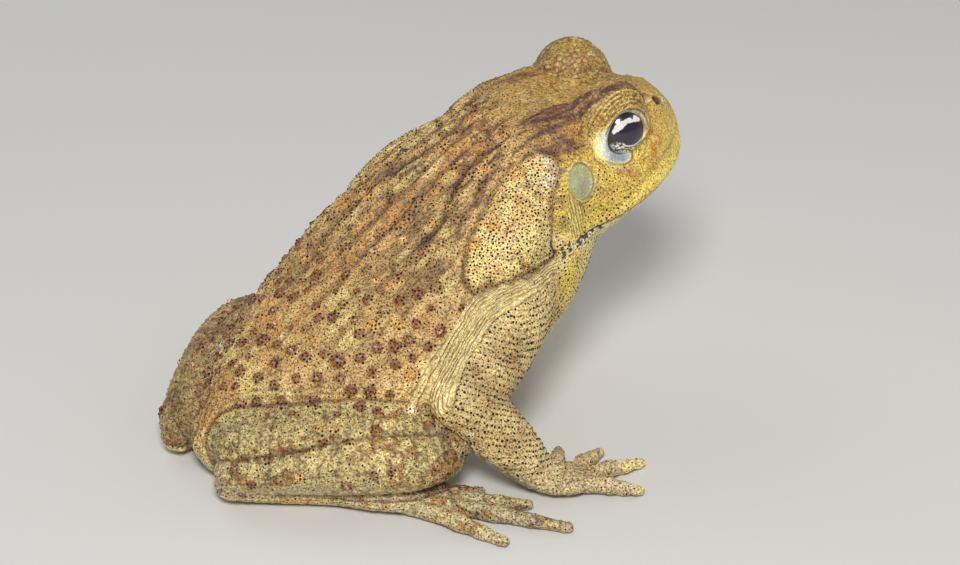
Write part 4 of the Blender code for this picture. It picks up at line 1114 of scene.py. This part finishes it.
def shape_limbs(skin):
    """Mottled limbs with cross wrinkles, and the grooves where they leave the body, with painted
    shade in wrinkles, grooves and folds.
    """
    p, leg, limb_share, mid = skin.points, skin.leg, skin.limb, skin.mid
    small, wide = skin.small, skin.wide
    for tone, share in (
            (ARM_TONE, skin.arm),
            (LEG_TONE, leg),
            (GREY_TONE, limb_share * 0.6 * ease((14 - p[:, 2]) / 12)),
            (YELLOW_TONE, limb_share * 0.45 * ease((mid - 0.1) / 0.4)),
            (BROWN_TONE, limb_share * 0.35 * ease((-wide - 0.1) / 0.5)),
            (BROWN_TONE, leg * 0.8 * ease((0.6 * small + 0.5 * mid - 0.22) / 0.2)),
            (DARK_TONE, leg * 0.6 * ease((0.7 * skin.tiny - 0.5 * wide - 0.35) / 0.15)),
            (YELLOW_TONE, leg * 0.4 * ease((-0.6 * small + 0.5 * wide - 0.35) / 0.2)),
            # Painted shade on the upper side of the left leg only.
            (BROWN_TONE, leg * (p[:, 1] > 0) * 0.4 * ease((skin.up + 0.2) / 0.4)),
            (BELLY_TONE, limb_share * ease((-0.2 - skin.up) / 0.4) * 0.7)):
        skin.paint(tone, share)
    for side in SIDES:
        own_side = p[:, 1] * side > 0
        shoulder = np.linalg.norm(p - mirror(SHOULDER, side), axis=1)
        rows = shoulder / ARM_ROW_APART + 0.35 * wide + 0.06 * mid
        skin.rows = np.where(own_side, rows, skin.rows)
        reach = {name: skin.tubes[name, side][0] for name, _, _ in WRINKLES}
        for name, turns, height in WRINKLES:
            on_leg = name in ("shank", "thigh")
            along = skin.tubes[name, side][1]
            ripple = np.sin(along * 2 * math.pi * turns + 2.6 * wide + 1.2 * mid)
            share = ease((1.22 - reach[name]) / 0.15) * ease((skin.up + 0.1) / 0.4) * own_side
            share *= leg if on_leg else skin.arm
            skin.lift += height * share * ripple
            # Dark in the troughs of the wrinkles, broken up by noise: the legs' cross mottling, and
            # painted shade.
            dark_and_shade = share * ease((-ripple - 0.3) / 0.6) * ease((small + 0.35) / 0.5)
            skin.paint(DARK_TONE, dark_and_shade * (0.45 if on_leg else 0.225))
        thigh, shank = reach["thigh"], reach["shank"]
        leg_out = np.minimum(thigh, shank)
        arm_out = np.minimum(reach["upper_arm"], reach["forearm"])
        wavy = 0.03 * mid
        # Painted shade along the grooves where legs and arms leave the body, less of it higher up.
        for out, at, tone in ((leg_out, 1.22, 0.75), (arm_out, 1.26, 0.35)):
            edge = bump((out - at + wavy) / 0.08) * own_side * (p[:, 2] > 3) * (1 - skin.on_head)
            edge = edge * (1 - skin.gland) * (1 - skin.pleats)
            skin.lift -= 0.4 * edge
            skin.darken(tone * edge * ease((48 - p[:, 2]) / 6))
        above_leg = ease((30 - p[:, 2]) / 6) * (p[:, 2] > 6) * ease((40 - p[:, 0]) / 6)
        above_leg *= (1 - skin.arm) * own_side
        # Painted shade in two creases above each leg.
        for step in (0.16, 0.3):
            crease = bump((leg_out - 1.22 - step + wavy * 2) / 0.05) * above_leg
            skin.lift -= 0.25 * crease
            skin.darken(0.4 * crease)
        # Painted shade in the fold between thigh and shank.
        fold = bump((thigh - shank + wavy) / 0.07) * ease((1.25 - leg_out) / 0.1) * own_side
        skin.lift -= 0.5 * fold
        skin.darken(0.7 * fold)


def shape_pleats(skin):
    """Long pleats between flank and arm, and pale skin under the glands' lower edge."""
    for side in SIDES:
        across, share = skin.pleat[side]
        share = share * (1 - skin.gland) * (1 - skin.leg) * ease((skin.points[:, 2] - 17.5) / 4)
        skin.paint(PLEAT_TONE, share)
        skin.draw_stripes(across, share)
        wave = np.sin((across + 0.2 * skin.mid) * 2 * math.pi / PLEAT_PITCH)
        skin.lift += share * 0.12 * wave * (0.6 + 0.6 * skin.small)
    below = np.maximum(*[bump((skin.gland_edges[side][1] - 2.5) / 3.5)
                         * (skin.gland_depth[side] < 0) for side in SIDES])
    below *= ease((skin.points[:, 0] - 56) / 6) * (1 - skin.gland)
    skin.paint(PLEAT_TONE, below * 0.8)


def shape_warts(skin):
    """Raised warts, each dark maroon, brown, orange or cream, with a pale mottled top, partly pale
    skin and partly a painted highlight.
    """
    p = skin.points
    for centre, radius, height, kind in wart_sites():
        near = np.flatnonzero(np.abs(p[:, 0] - centre[0]) < radius * 1.7)
        away = np.linalg.norm(p[near] - centre, axis=1) / radius
        near, away = near[away < 1.6], away[away < 1.6]
        on_throat = centre[0] > 62 and centre[2] < 44
        if not len(near) or on_throat or skin.up[near].mean() < -0.35:
            continue
        free = (1 - skin.pleats[near]) * (1 - skin.gland[near])
        free *= ease((skin.head[near, 0] + 14) / -5)
        skin.lift[near] += free * height * bump(away / 1.3) ** 0.8
        on_back = skin.back[near].mean() > 0.5 and centre[2] > 40
        tone = (MAROON_TONE if kind < 0.80 and not on_back else BROWN_TONE if kind < 0.88
                else ORANGE_TONE if kind < 0.96 or centre[2] > 26 else GLAND_CREAM)
        share = free * ease((1.02 + 0.25 * skin.small[near] - away) / 0.34)
        share *= (1 - 0.6 * skin.arm[near]) * (0.9 + 0.3 * skin.tiny[near])
        share *= 0.95 if radius > 0.85 else 0.5
        # Pale top: partly pale skin, partly a painted highlight.
        light = free * bump(away / 0.7) * 0.55 * ease((skin.tiny[near] - 0.2) / 0.3)
        skin.colours[near] = toned(toned(skin.colours[near], tone, share), GLAND_CREAM, light)
        if radius > 0.95:
            skin.wart[near] = np.maximum(skin.wart[near], free * ease((1.15 - away) / 0.3))


def lid_rim(side):
    """The edge of the lids, a closed line just outside the eyeball."""
    look, along, upward = eye_frame(side)
    angles = np.linspace(0, 2 * math.pi, 240, endpoint=False)
    cos, sin = math.cos(OPENING_TILT), math.sin(OPENING_TILT)
    long, short = OPENING_LONG * np.cos(angles), OPENING_SHORT * np.sin(angles)
    x = OPENING_MIDDLE[0] + long * cos - short * sin
    y = OPENING_MIDDLE[1] + long * sin + short * cos
    arc, spin = np.hypot(x, y) / EYE_RADIUS, np.arctan2(y, x)
    across = np.outer(np.cos(spin), along) + np.outer(np.sin(spin), upward)
    direction = np.outer(np.cos(arc), look) + np.sin(arc)[:, None] * across
    return mirror(EYE_CENTRE, side) + direction * (EYE_RADIUS + LID)


def nearest_of(points):
    """Tree that finds the nearest of some points."""
    tree = KDTree(len(points))
    for i, point in enumerate(points):
        tree.insert(point, i)
    tree.balance()
    return tree


def shape_eyes(skin):
    """Pale rim of the lids, widest behind the eye, with painted shade on its lower part and painted
    shadows along the lids, and rows of dots over the hood above.
    """
    head = to_head(lids(skin.points))
    dashes = noise(skin.points, 0.5, 44)
    for side in SIDES:
        x, y, facing, distance, _ = eye_plane(head, side)
        near = np.flatnonzero(distance < 16)
        tree = nearest_of(lid_rim(side))
        beyond = np.full(len(head), 99.0)
        beyond[near] = [tree.find(point)[2] for point in head[near]]
        beyond[(opening(x, y, facing) < 1) & (distance < EYE_RADIUS + 0.3)] = 0.0
        angle = np.degrees(np.arctan2(y, x)) % 360
        rise = np.sin(np.radians(angle))
        hood = ease((5.4 - beyond) / 1.0) * ease((rise + 0.2) / 0.3) * (beyond > 0.1)
        skin.paint((0.50, 0.33, 0.09), hood * 0.85)
        rows = np.sin((beyond - 0.3) * 2 * math.pi / HOOD_ROW_APART + 0.9 * skin.mid)
        skin.paint(YELLOW_TONE, hood * 0.5 * ease((rows - 0.1) / 0.5) * ease((dashes + 0.4) / 0.6))
        skin.darken(hood * 0.6 * ease((-rows - 0.1) / 0.5) * ease((dashes - 0.02) / 0.25))
        skin.lift += 0.10 * hood * rows * (beyond > 0.8)
        wide = curve(RIM_WIDE, angle)
        white = ease((wide - beyond) / (0.2 + 0.35 * wide))
        yellow = bump((beyond - wide) / 1.9) * ease((wide - 0.9) / 0.8)
        skin.paint((0.92, 0.80, 0.32), yellow * 0.85)
        skin.paint(WHITE_TONE, white)
        # Painted shade on the lower part of the pale rim.
        skin.paint((0.20, 0.25, 0.28), white * bump((angle - 256) / 58) * 0.9)
        skin.dark_and_shade *= 1 - white
        # Painted shadow of the lower lid, just outside the rim.
        skin.darken(0.85 * bump((beyond - wide - 0.2) / 0.4) * ease(bump((angle - 262) / 60) / 0.5))
        # Painted shadow of the upper lid along its edge.
        skin.darken(0.95 * bump((beyond - 0.62) / 0.34) * ease((rise + 0.05) / 0.3))
        close = ease((np.maximum(wide, 0.6) + 0.9 - beyond) / 0.6)
        skin.near_eye = np.maximum(skin.near_eye, close)
    skin.lift *= 1 - 0.85 * skin.near_eye


def candidates(skin, mesh, rng):
    """Random places all over the skin: each one's triangle, and its share of each corner."""
    mesh.calc_loop_triangles()
    corners = np.empty(len(mesh.loop_triangles) * 3, np.int32)
    mesh.loop_triangles.foreach_get("vertices", corners)
    corners = corners.reshape(-1, 3)
    a, b, c = (skin.points[corners[:, i]] for i in range(3))
    area = np.linalg.norm(np.cross(b - a, c - a), axis=1)
    pick = rng.choice(len(corners), size=CANDIDATES, p=area / area.sum())
    u, v = rng.random((2, CANDIDATES))
    flip = u + v > 1
    u[flip], v[flip] = 1 - u[flip], 1 - v[flip]
    return corners[pick], np.stack([1 - u - v, u, v], -1)


def granules(skin, mesh):
    """Scattered granules, closer on warts and glands; most carry a dark tip. The crevices between
    them get painted shade.
    """
    rng = np.random.default_rng(40)
    corners, shares = candidates(skin, mesh, rng)
    places = np.einsum("ij,ijk->ik", shares, skin.points[corners])
    head = to_head(places)
    at = {name: getattr(skin, name)[corners[:, 0]]
          for name in ("gland", "arm", "leg", "on_head", "up", "stripe_share", "near_eye", "wart",
                       "back")}
    gland, arm, leg = (at[name] > 0.5 for name in ("gland", "arm", "leg"))
    in_row = np.cos(2 * math.pi * np.einsum("ij,ij->i", shares, skin.rows[corners])) > 0.4
    face = (at["on_head"] > 0.6) & (at["gland"] < 0.5)
    # Where a rule holds, it sets how far apart and high the granules are, the radius of their
    # tips, and the share of them that has a tip. Later rules overrule earlier ones.
    rules = (
        (np.ones(CANDIDATES, bool), 0.95, 0.20, 0.21, 0.9),
        (at["back"] > 0.5, 0.90, 0.22, 0.19, 0.8),
        (face, 0.82, 0.10, 0.18, 0.65),
        (face & (head[:, 2] > 2.5), 0.85, 0.12, 0.14, 0.35),
        (face & (head[:, 0] > 3) & (head[:, 2] < 2), 0.95, 0.06, 0.15, 0.45),
        (face & (head[:, 0] < 0) & (head[:, 2] < -7), 0.78, 0.09, 0.23, 0.9),
        (leg, 1.0, 0.17, 0.22, 0.45),
        (arm, 0.9, 0.12, 0.0, 0.0),
        (arm & in_row, 0.62, 0.14, 0.265, 1.0),
        (places[:, 2] < FOOT_HIGH, 0.9, 0.13, 0.19, 0.55),
        (gland, 0.62, 0.11, 0.245, 0.95),
        ((at["wart"] > 0.5) & (at["gland"] < 0.5), 0.66, 0.15, 0.27, 0.95),
        (at["up"] < -0.35, 1.5, 0.12, 0.0, 0.0),
        (at["stripe_share"] > 0.5, 1.4, 0.04, 0.16, 0.25),
        (at["near_eye"] > 0.4, 1.0, 0.0, 0.12, 0.0),
    )
    apart, high, tip, share = (np.zeros(CANDIDATES) for _ in range(4))
    for where, *values in rules:
        for column, value in zip((apart, high, tip, share), values):
            column[where] = value
    ear = np.minimum(*[ear_reach(head, side) for side in SIDES])
    share[(ear < 1.3) | (places[:, 2] < 1.0)] = 0
    kept = thinned(places, apart, np.argsort(arm & ~in_row, kind="stable").tolist())
    tree = nearest_of(places[kept])
    found = [tree.find(point)[1:] for point in skin.points]
    index = np.array([i for i, _ in found])
    ratio = np.array([d for _, d in found]) / apart[kept][index]
    rough = (1 - skin.near_eye) * ease((skin.any_ear - 1.1) / 0.1)
    skin.lift += rough * high[kept][index] * (bump(ratio / 0.75) - 0.35)
    tipped = rng.random(len(kept)) < share[kept]
    # Painted shade in the crevices between granules, less of it round tipped ones.
    skin.crevice = rough * ease((ratio - 0.42) / 0.3) * ease(high[kept][index] / 0.1)
    skin.crevice *= 1 - 0.7 * tipped[index]
    kept = kept[tipped]
    radii = tip[kept] * rng.uniform(0.6, 1.4, len(kept))
    group = np.select([gland[kept], face[kept], (arm | leg)[kept]], [0, 1, 2], 3)
    return corners[kept], shares[kept], radii, group


def dress(obj):
    """Raise the skin's forms, paint its tones and find where its dark tips stand."""
    mesh = obj.data
    skin = Skin(mesh)
    skin.paint(BACK_TONE, ease((skin.up - 0.22) / 0.36) * 0.92)
    skin.paint(BELLY_TONE, ease((-0.1 - skin.up) / 0.4))
    for shape in (shape_back, shape_limbs, shape_head, shape_glands, shape_pleats, shape_warts,
                  shape_eyes):
        shape(skin)
    in_row = ease((np.cos(2 * math.pi * skin.rows) - 0.2) / 0.5)
    skin.paint(BROWN_TONE, skin.arm * (0.32 + 0.3 * skin.small) * in_row)
    tips_at = granules(skin, mesh)
    colours = skin.colours * (1 + 0.12 * skin.wide + 0.14 * skin.small)[:, None]
    # Painted shade: the crevices between granules darkened with a bluish tone.
    colours *= 1 - skin.crevice[:, None] * (0.48, 0.54, 0.60)
    colours = toned(colours, DARK_TONE, np.clip(skin.dark_and_shade, 0, 0.95))
    points = lids(skin.points + skin.normals * skin.lift[:, None])
    points[:, 2] = np.maximum(points[:, 2], FLOOR_GAP)
    write_mesh(mesh, points)
    smooth_places = np.maximum.reduce([skin.near_eye, ease((1.2 - skin.any_ear) / 0.1),
                                       0.6 * skin.stripe_share, 0.35 * skin.on_head])
    for name, values in (("tint", np.clip(colours, 0.01, 0.95)), ("stripe", skin.stripe),
                         ("stripe_share", skin.stripe_share), ("grain_share", 1 - smooth_places)):
        store(mesh, name, values)
    return tips_at


# Dark horny tips.

def thinned(points, apart, order):
    """Indices of the points kept so that each is at least its own distance from the others."""
    grid = {}
    kept = []
    cells_of = np.floor(points / float(apart.max())).astype(int).tolist()
    rows = points.tolist()
    limits = (apart ** 2).tolist()
    around = list(product((-1, 0, 1), repeat=3))
    for i in order:
        cx, cy, cz = cells_of[i]
        x, y, z = rows[i]
        limit = limits[i]
        if all((px - x) ** 2 + (py - y) ** 2 + (pz - z) ** 2 >= limit
               for dx, dy, dz in around
               for px, py, pz in grid.get((cx + dx, cy + dy, cz + dz), ())):
            kept.append(i)
            grid.setdefault((cx, cy, cz), []).append((x, y, z))
    return np.array(kept)


def tips(name, places, normals, radii, sides=6):
    """Joined low cones, one on each place, standing along its normal."""
    angles = np.linspace(0, 2 * math.pi, sides, endpoint=False)[None, :, None]
    helper = np.where(np.abs(normals[:, :1]) < 0.8, (1.0, 0, 0), (0, 1.0, 0))
    across = unit(np.cross(normals, helper))
    upward = np.cross(normals, across)
    radial = np.cos(angles) * across[:, None] + np.sin(angles) * upward[:, None]
    rings = [places[:, None] + radii[:, None, None] * share * radial
             + (radii * high)[:, None, None] * normals[:, None]
             for share, high in ((1.0, -0.45), (0.8, 0.12), (0.0, 0.35))]
    rings[-1] = rings[-1][:, :1]
    verts = np.concatenate(rings, axis=1).reshape(-1, 3)
    ring = np.arange(sides)
    after = (ring + 1) % sides
    walls = np.stack([ring, after, sides + after, sides + ring], -1)
    caps = np.stack([sides + ring, sides + after, np.full(sides, 2 * sides)], -1)
    starts = (np.arange(len(places)) * (2 * sides + 1))[:, None, None]
    faces = (walls + starts).reshape(-1, 4).tolist() + (caps + starts).reshape(-1, 3).tolist()
    mesh = bpy.data.meshes.new(name)
    mesh.from_pydata(place(verts).tolist(), [], faces)
    mesh.shade_smooth()
    return new_object(name, mesh)


def scatter_tips(skin, tips_at):
    """The tips on the finished skin, one object for each region."""
    corners, shares, radii, group = tips_at
    points, normals = read_mesh(skin.data)
    places = np.einsum("ij,ijk->ik", shares, points[corners])
    normals = unit(np.einsum("ij,ijk->ik", shares, normals[corners]))
    return [tips(name, places[group == index], normals[group == index], radii[group == index])
            for index, name in enumerate(("tips_glands", "tips_head", "tips_limbs", "tips_back"))]


# Materials.

class Nodes:
    """Short ways to add and join shader nodes."""

    def __init__(self, name):
        self.material = bpy.data.materials.new(name)
        self.material.use_nodes = True
        self.tree = self.material.node_tree
        self.shader = self.tree.nodes["Principled BSDF"]

    def add(self, kind, inputs=(), **settings):
        node = self.tree.nodes.new(kind)
        for key, value in settings.items():
            setattr(node, key, value)
        self.set(node, dict(inputs))
        return node

    def set(self, node, values):
        """Join or set a node's inputs."""
        for key, value in values.items():
            socket = node.inputs[key]
            if isinstance(value, bpy.types.NodeSocket):
                self.tree.links.new(value, socket)
            else:
                socket.default_value = value

    def surface(self, values):
        self.set(self.shader, values)
        return self.material

    def attribute(self, name, output="Fac"):
        return self.add("ShaderNodeAttribute", attribute_name=name).outputs[output]

    def math(self, operation, a, b=0.0):
        return self.add("ShaderNodeMath", {0: a, 1: b}, operation=operation).outputs[0]

    def times(self, a, b):
        return self.math("MULTIPLY", a, b)

    def plus(self, a, b):
        return self.math("ADD", a, b)

    def ramp(self, value, low, high, start=0.0, end=1.0):
        node = self.add("ShaderNodeMapRange", {"Value": value, "From Min": low, "From Max": high,
                                               "To Min": start, "To Max": end})
        node.interpolation_type = "SMOOTHSTEP"
        return node.outputs[0]

    def mix(self, share, a, b, blend="MIX"):
        node = self.add("ShaderNodeMix", data_type="RGBA", blend_type=blend)
        self.set(node, {0: share, 6: a, 7: b})
        return node.outputs[2]

    def shaded(self, tint, tone):
        """The tint multiplied by a tone."""
        return self.mix(1.0, tint, (*tone, 1), "MULTIPLY")

    def scaled(self, factor):
        """The object's own coordinates, in metres, times a factor."""
        where = self.add("ShaderNodeTexCoord").outputs["Object"]
        node = self.add("ShaderNodeVectorMath", {0: where, "Scale": factor}, operation="SCALE")
        return node.outputs[0]

    def voronoi(self, where, scale, **settings):
        node = self.add("ShaderNodeTexVoronoi", {"Vector": where, "Scale": scale}, **settings)
        return node.outputs["Distance"]

    def noise(self, where, scale, detail=3.0):
        node = self.add("ShaderNodeTexNoise", {"Vector": where, "Scale": scale, "Detail": detail})
        return node.outputs["Fac"]


def skin_material():
    """Painted tint with a fine grain, specks and the pleats' stripes, all raised a little. The grain
    is lighter where raised and darker where low, and the stripes are darker in their troughs: painted
    highlight and shade.
    """
    n = Nodes("toad_skin")
    where = n.scaled(PER_METRE)
    tint = n.attribute("tint", "Color")
    stripe, share, rough = (n.attribute(name) for name in ("stripe", "stripe_share", "grain_share"))
    broad, fine = n.noise(where, 0.55), n.noise(where, 2.6, 4.0)
    specks = n.voronoi(where, 1.55)
    micro = n.voronoi(where, 2.6, feature="SMOOTH_F1")

    wobble = n.times(n.math("SUBTRACT", n.noise(where, 0.45, 3.0), 0.5), 1.3)
    phase = n.times(n.plus(stripe, wobble), 2 * math.pi / PLEAT_PITCH)
    wave = n.times(n.plus(n.math("SINE", phase), 1.0), 0.5)
    # The pleats' lines are painted shade in the troughs of their waves.
    lines = n.times(n.ramp(wave, 0.5, 0.05), n.times(share, n.ramp(broad, 0.38, 0.6)))

    # Painted highlight on the grain's raised parts, then painted shade in its low parts.
    colour = n.mix(n.ramp(fine, 0.42, 0.66, 0.0, 0.85), tint, n.shaded(tint, (1.48, 1.46, 1.5)))
    for shown, tone in ((n.times(n.ramp(fine, 0.49, 0.34, 0.0, 0.95), rough), (0.36, 0.28, 0.18)),
                        (n.times(n.times(n.ramp(specks, 0.34, 0.2), rough), 0.8),
                         (0.24, 0.15, 0.10)),
                        (n.times(lines, 0.75), (0.42, 0.27, 0.13))):
        colour = n.mix(shown, colour, n.shaded(tint, tone))
    height = n.plus(n.times(n.times(micro, -0.55), rough), n.times(fine, 0.5))
    height = n.plus(height, n.times(n.times(wave, share), 1.2))
    bumped = n.add("ShaderNodeBump", {"Height": height, "Distance": 0.00035, "Strength": 1.0})
    return n.surface({"Base Color": colour, "Roughness": n.ramp(fine, 0.3, 0.7, 0.36, 0.56),
                      "Normal": bumped.outputs[0], "Specular IOR Level": 0.35,
                      "Coat Weight": 0.08, "Coat Roughness": 0.3})


def tip_material():
    n = Nodes("horny_tips")
    shade = n.noise(n.scaled(PER_METRE), 1.2, 2.0)
    colour = n.mix(n.ramp(shade, 0.4, 0.65), (0.010, 0.005, 0.004, 1), (0.05, 0.018, 0.010, 1))
    return n.surface({"Base Color": colour, "Roughness": n.ramp(shade, 0.3, 0.7, 0.5, 0.7),
                      "Specular IOR Level": 0.25})


def eye_material():
    """Painted iris and pupil under a clear, smooth coat."""
    n = Nodes("eye_surface")
    tint = n.attribute("tint", "Color")
    fleck = n.noise(n.scaled(PER_METRE), 4.0, 3.0)
    colour = n.mix(n.ramp(fleck, 0.4, 0.6, 0.0, 0.25), tint, n.shaded(tint, (0.6, 0.6, 0.65)))
    return n.surface({"Base Color": colour, "Roughness": n.ramp(fleck, 0.3, 0.7, 0.18, 0.3),
                      "Coat Weight": 1.0, "Coat Roughness": 0.02, "Coat IOR": 1.45})


# Eyeballs.

def ball_faces(rows, segments):
    """Faces of a ball: a pole, rows of points round it and a second pole."""
    faces = []
    for i in range(segments):
        j = (i + 1) % segments
        last = 1 + (rows - 1) * segments
        faces.append((0, 1 + i, 1 + j))
        faces.append((rows * segments + 1, last + j, last + i))
        for start in range(1, last, segments):
            faces.append((start + i, start + segments + i, start + segments + j, start + j))
    return faces


def iris_tones(x, y, reach):
    """Tones of the eyeball by place round its pole: dark ball, pale arc above the pupil, flecks
    below it, the pupil with its pale edge, and the pale rim of the iris."""
    angle = np.degrees(np.arctan2(y, x)) % 360
    flat = np.stack([x, y, np.zeros_like(x)], -1)
    rough, soft = noise(flat, 0.30, 31, 2), noise(flat, 1.1, 33, 2)
    pupil = (np.hypot((x - PUPIL_CENTRE[0]) / PUPIL_LONG, (y - PUPIL_CENTRE[1]) / PUPIL_HIGH)
             + 0.02 * soft)
    middle = curve(CRESCENT_MIDDLE, angle) + 0.08 * soft
    half = curve(CRESCENT_HALF, angle)
    notch = 0.5 * bump((angle - 77) / 9) * (reach > middle)
    crescent = ease((half - notch - np.abs(reach - middle) + 0.14 * rough) / 0.12) * (half > 0.02)
    flecks = (ease(bump((reach - 3.8) / 1.3) / 0.4) * ease((angle - 200) / 20)
              * ease((325 - angle) / 30) * ease((rough - 0.02) / 0.15))
    rim = (ease(bump((pupil - 1.12) / 0.10) / 0.5) * ease((angle - 215) / 20)
           * ease((335 - angle) / 20))
    colours = np.tile(np.array((0.012, 0.011, 0.013)), (len(x), 1))
    for tone, share in (((0.95, 0.94, 0.90), flecks),
                        ((0.88, 0.87, 0.82), crescent),
                        ((0.45, 0.45, 0.50), crescent * ease((0.2 - rough) / 0.3) * 0.35),
                        ((0.95, 0.93, 0.86), rim),
                        ((0.016, 0.008, 0.032), ease((1.06 - pupil) / 0.05)),
                        ((0.50, 0.53, 0.53), ease((reach - 5.3) / 0.18)),
                        ((0.01, 0.01, 0.012), bump((reach - 5.1) / 0.3))):
        colours = toned(colours, tone, share)
    return np.clip(colours, 0, 1)


def eyeball(side):
    """Eyeball with its pole where the eye looks and a slight swelling over the iris."""
    look, along, upward = eye_frame(side)
    theta = np.linspace(0, math.pi, EYE_RINGS + 1)[1:-1] ** 1.15 / math.pi ** 0.15
    angles = np.linspace(0, 2 * math.pi, EYE_SIDES, endpoint=False)
    around = np.cos(angles)[:, None] * along + np.sin(angles)[:, None] * upward
    rows = [np.cos(t) * look[None] + np.sin(t) * around for t in theta]
    directions = np.vstack([look[None], *rows, -look[None]])
    x, y = directions @ along * EYE_RADIUS, directions @ upward * EYE_RADIUS
    reach = (np.hypot(x, np.where(y < 0, 0.9 * y, y))
             + np.where(directions @ look < 0, 9.0, 0.0))
    cornea = 0.22 * ease((5.2 - reach) / 2.4)
    p = mirror(EYE_CENTRE, side) + directions * (EYE_RADIUS - 0.05 + cornea)[:, None]
    name = "eyeball_left" if side > 0 else "eyeball_right"
    mesh = bpy.data.meshes.new(name)
    mesh.from_pydata(place(from_head(*p.T)).tolist(), [], ball_faces(len(theta), EYE_SIDES))
    bm = bmesh.new()
    bm.from_mesh(mesh)
    bmesh.ops.recalc_face_normals(bm, faces=bm.faces)
    bm.to_mesh(mesh)
    bm.free()
    mesh.shade_smooth()
    store(mesh, "tint", iris_tones(x, y, reach))
    return new_object(name, mesh)


def build():
    """Every visible piece, with the body it rides on; the solids it replaces are hidden."""
    skin = base_skin()
    refine(skin, face_parts)
    refine(skin, lid_edges)
    tips_at = dress(skin)
    skin.data.materials.clear()
    skin.data.materials.append(skin_material())
    skin.data.shade_smooth()
    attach(skin, "root")
    flesh = ["trunk", "head", "lower_jaw"]
    for name in ("tympanum", "parotoid_gland", "upper_arm", "forearm", "hand", "thigh", "shank",
                 "foot"):
        flesh += [name + "_left", name + "_right"]
    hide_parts(*flesh)
    tip = tip_material()
    slots = ("gland_skin", "face_skin", "leg_skin", "back_skin")
    for obj, slot in zip(scatter_tips(skin, tips_at), slots):
        obj.data.materials.append(tip)
        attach(obj, "root")
    glossy = eye_material()
    for side, word in zip(SIDES, ("left", "right")):
        eye = eyeball(side)
        eye.data.materials.append(glossy)
        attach(eye, "root")
        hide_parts("eye_" + word)


# Camera, floor and light. The camera's place follows the photo: turn from the toad's right side
# and height in degrees, and distance and aim in millimetres.

VIEW_TURN = math.radians(35.4)
VIEW_HIGH = math.radians(30.2)
VIEW_FAR = 576.0
LENS = 100.0
SENSOR = 36.0
AIM = (50.0, 0.0, 33.0)
AIM_RIGHT = 14.5
AIM_UP = -3.2
FLOOR_HALF = 2.0
FLOOR_LEVEL = -0.0001
LIGHT_CENTRE = Vector((0.0, 0.0, 0.03))
LIGHTS = (("key", (-0.40, 0.30, 0.55), 0.20, 4.6), ("fill", (-0.15, -0.65, 0.35), 0.6, 1.0),
          ("rim", (0.55, 0.1, 0.45), 0.5, 1.0))


def camera_axes():
    """The camera's right, up and back, in the toad frame."""
    back = np.array([-math.sin(VIEW_TURN) * math.cos(VIEW_HIGH),
                     -math.cos(VIEW_TURN) * math.cos(VIEW_HIGH), math.sin(VIEW_HIGH)])
    right = np.array([math.cos(VIEW_TURN), -math.sin(VIEW_TURN), 0.0])
    return right, np.cross(back, right), back


def add_camera(scene):
    data = bpy.data.cameras.new("camera")
    data.lens = LENS
    data.sensor_width = SENSOR
    data.clip_start = 0.01
    camera = new_object("camera", data)
    axes = camera_axes()
    right, up, back = axes
    location = place(np.array(AIM) + right * AIM_RIGHT + up * AIM_UP + back * VIEW_FAR)[0]
    columns = [turned(axis) for axis in axes] + [location]
    camera.matrix_world = Matrix([[column[row] for column in columns] for row in range(3)]
                                 + [[0, 0, 0, 1]])
    scene.camera = camera


def add_floor():
    mesh = bpy.data.meshes.new("floor")
    corners = [(x * FLOOR_HALF, y * FLOOR_HALF, FLOOR_LEVEL)
               for x, y in ((-1, -1), (1, -1), (1, 1), (-1, 1))]
    mesh.from_pydata(corners, [], [(0, 1, 2, 3)])
    floor = new_object("floor", mesh)
    n = Nodes("pale_floor")
    cloud = n.noise(n.scaled(1.0), 3.0)
    colour = n.mix(cloud, (0.62, 0.61, 0.58, 1), (0.66, 0.65, 0.62, 1))
    floor.data.materials.append(n.surface({"Base Color": colour, "Roughness": 0.8}))


def add_lights(scene):
    for name, offset, size, power in LIGHTS:
        light = bpy.data.lights.new(name, "AREA")
        light.size = size
        light.energy = power
        lamp = new_object(name, light)
        lamp.location = LIGHT_CENTRE + Vector(offset)
        lamp.rotation_mode = "QUATERNION"
        lamp.rotation_quaternion = Vector(offset).to_track_quat("Z", "Y")
    world = bpy.data.worlds.new("soft_light")
    world.use_nodes = True
    sky = world.node_tree.nodes["Background"].inputs
    sky["Color"].default_value = (0.95, 0.97, 1.0, 1)
    sky["Strength"].default_value = 0.26
    scene.world = world


def studio():
    scene = bpy.context.scene
    add_camera(scene)
    add_floor()
    add_lights(scene)
    scene.view_settings.view_transform = "Standard"


studio()
build()
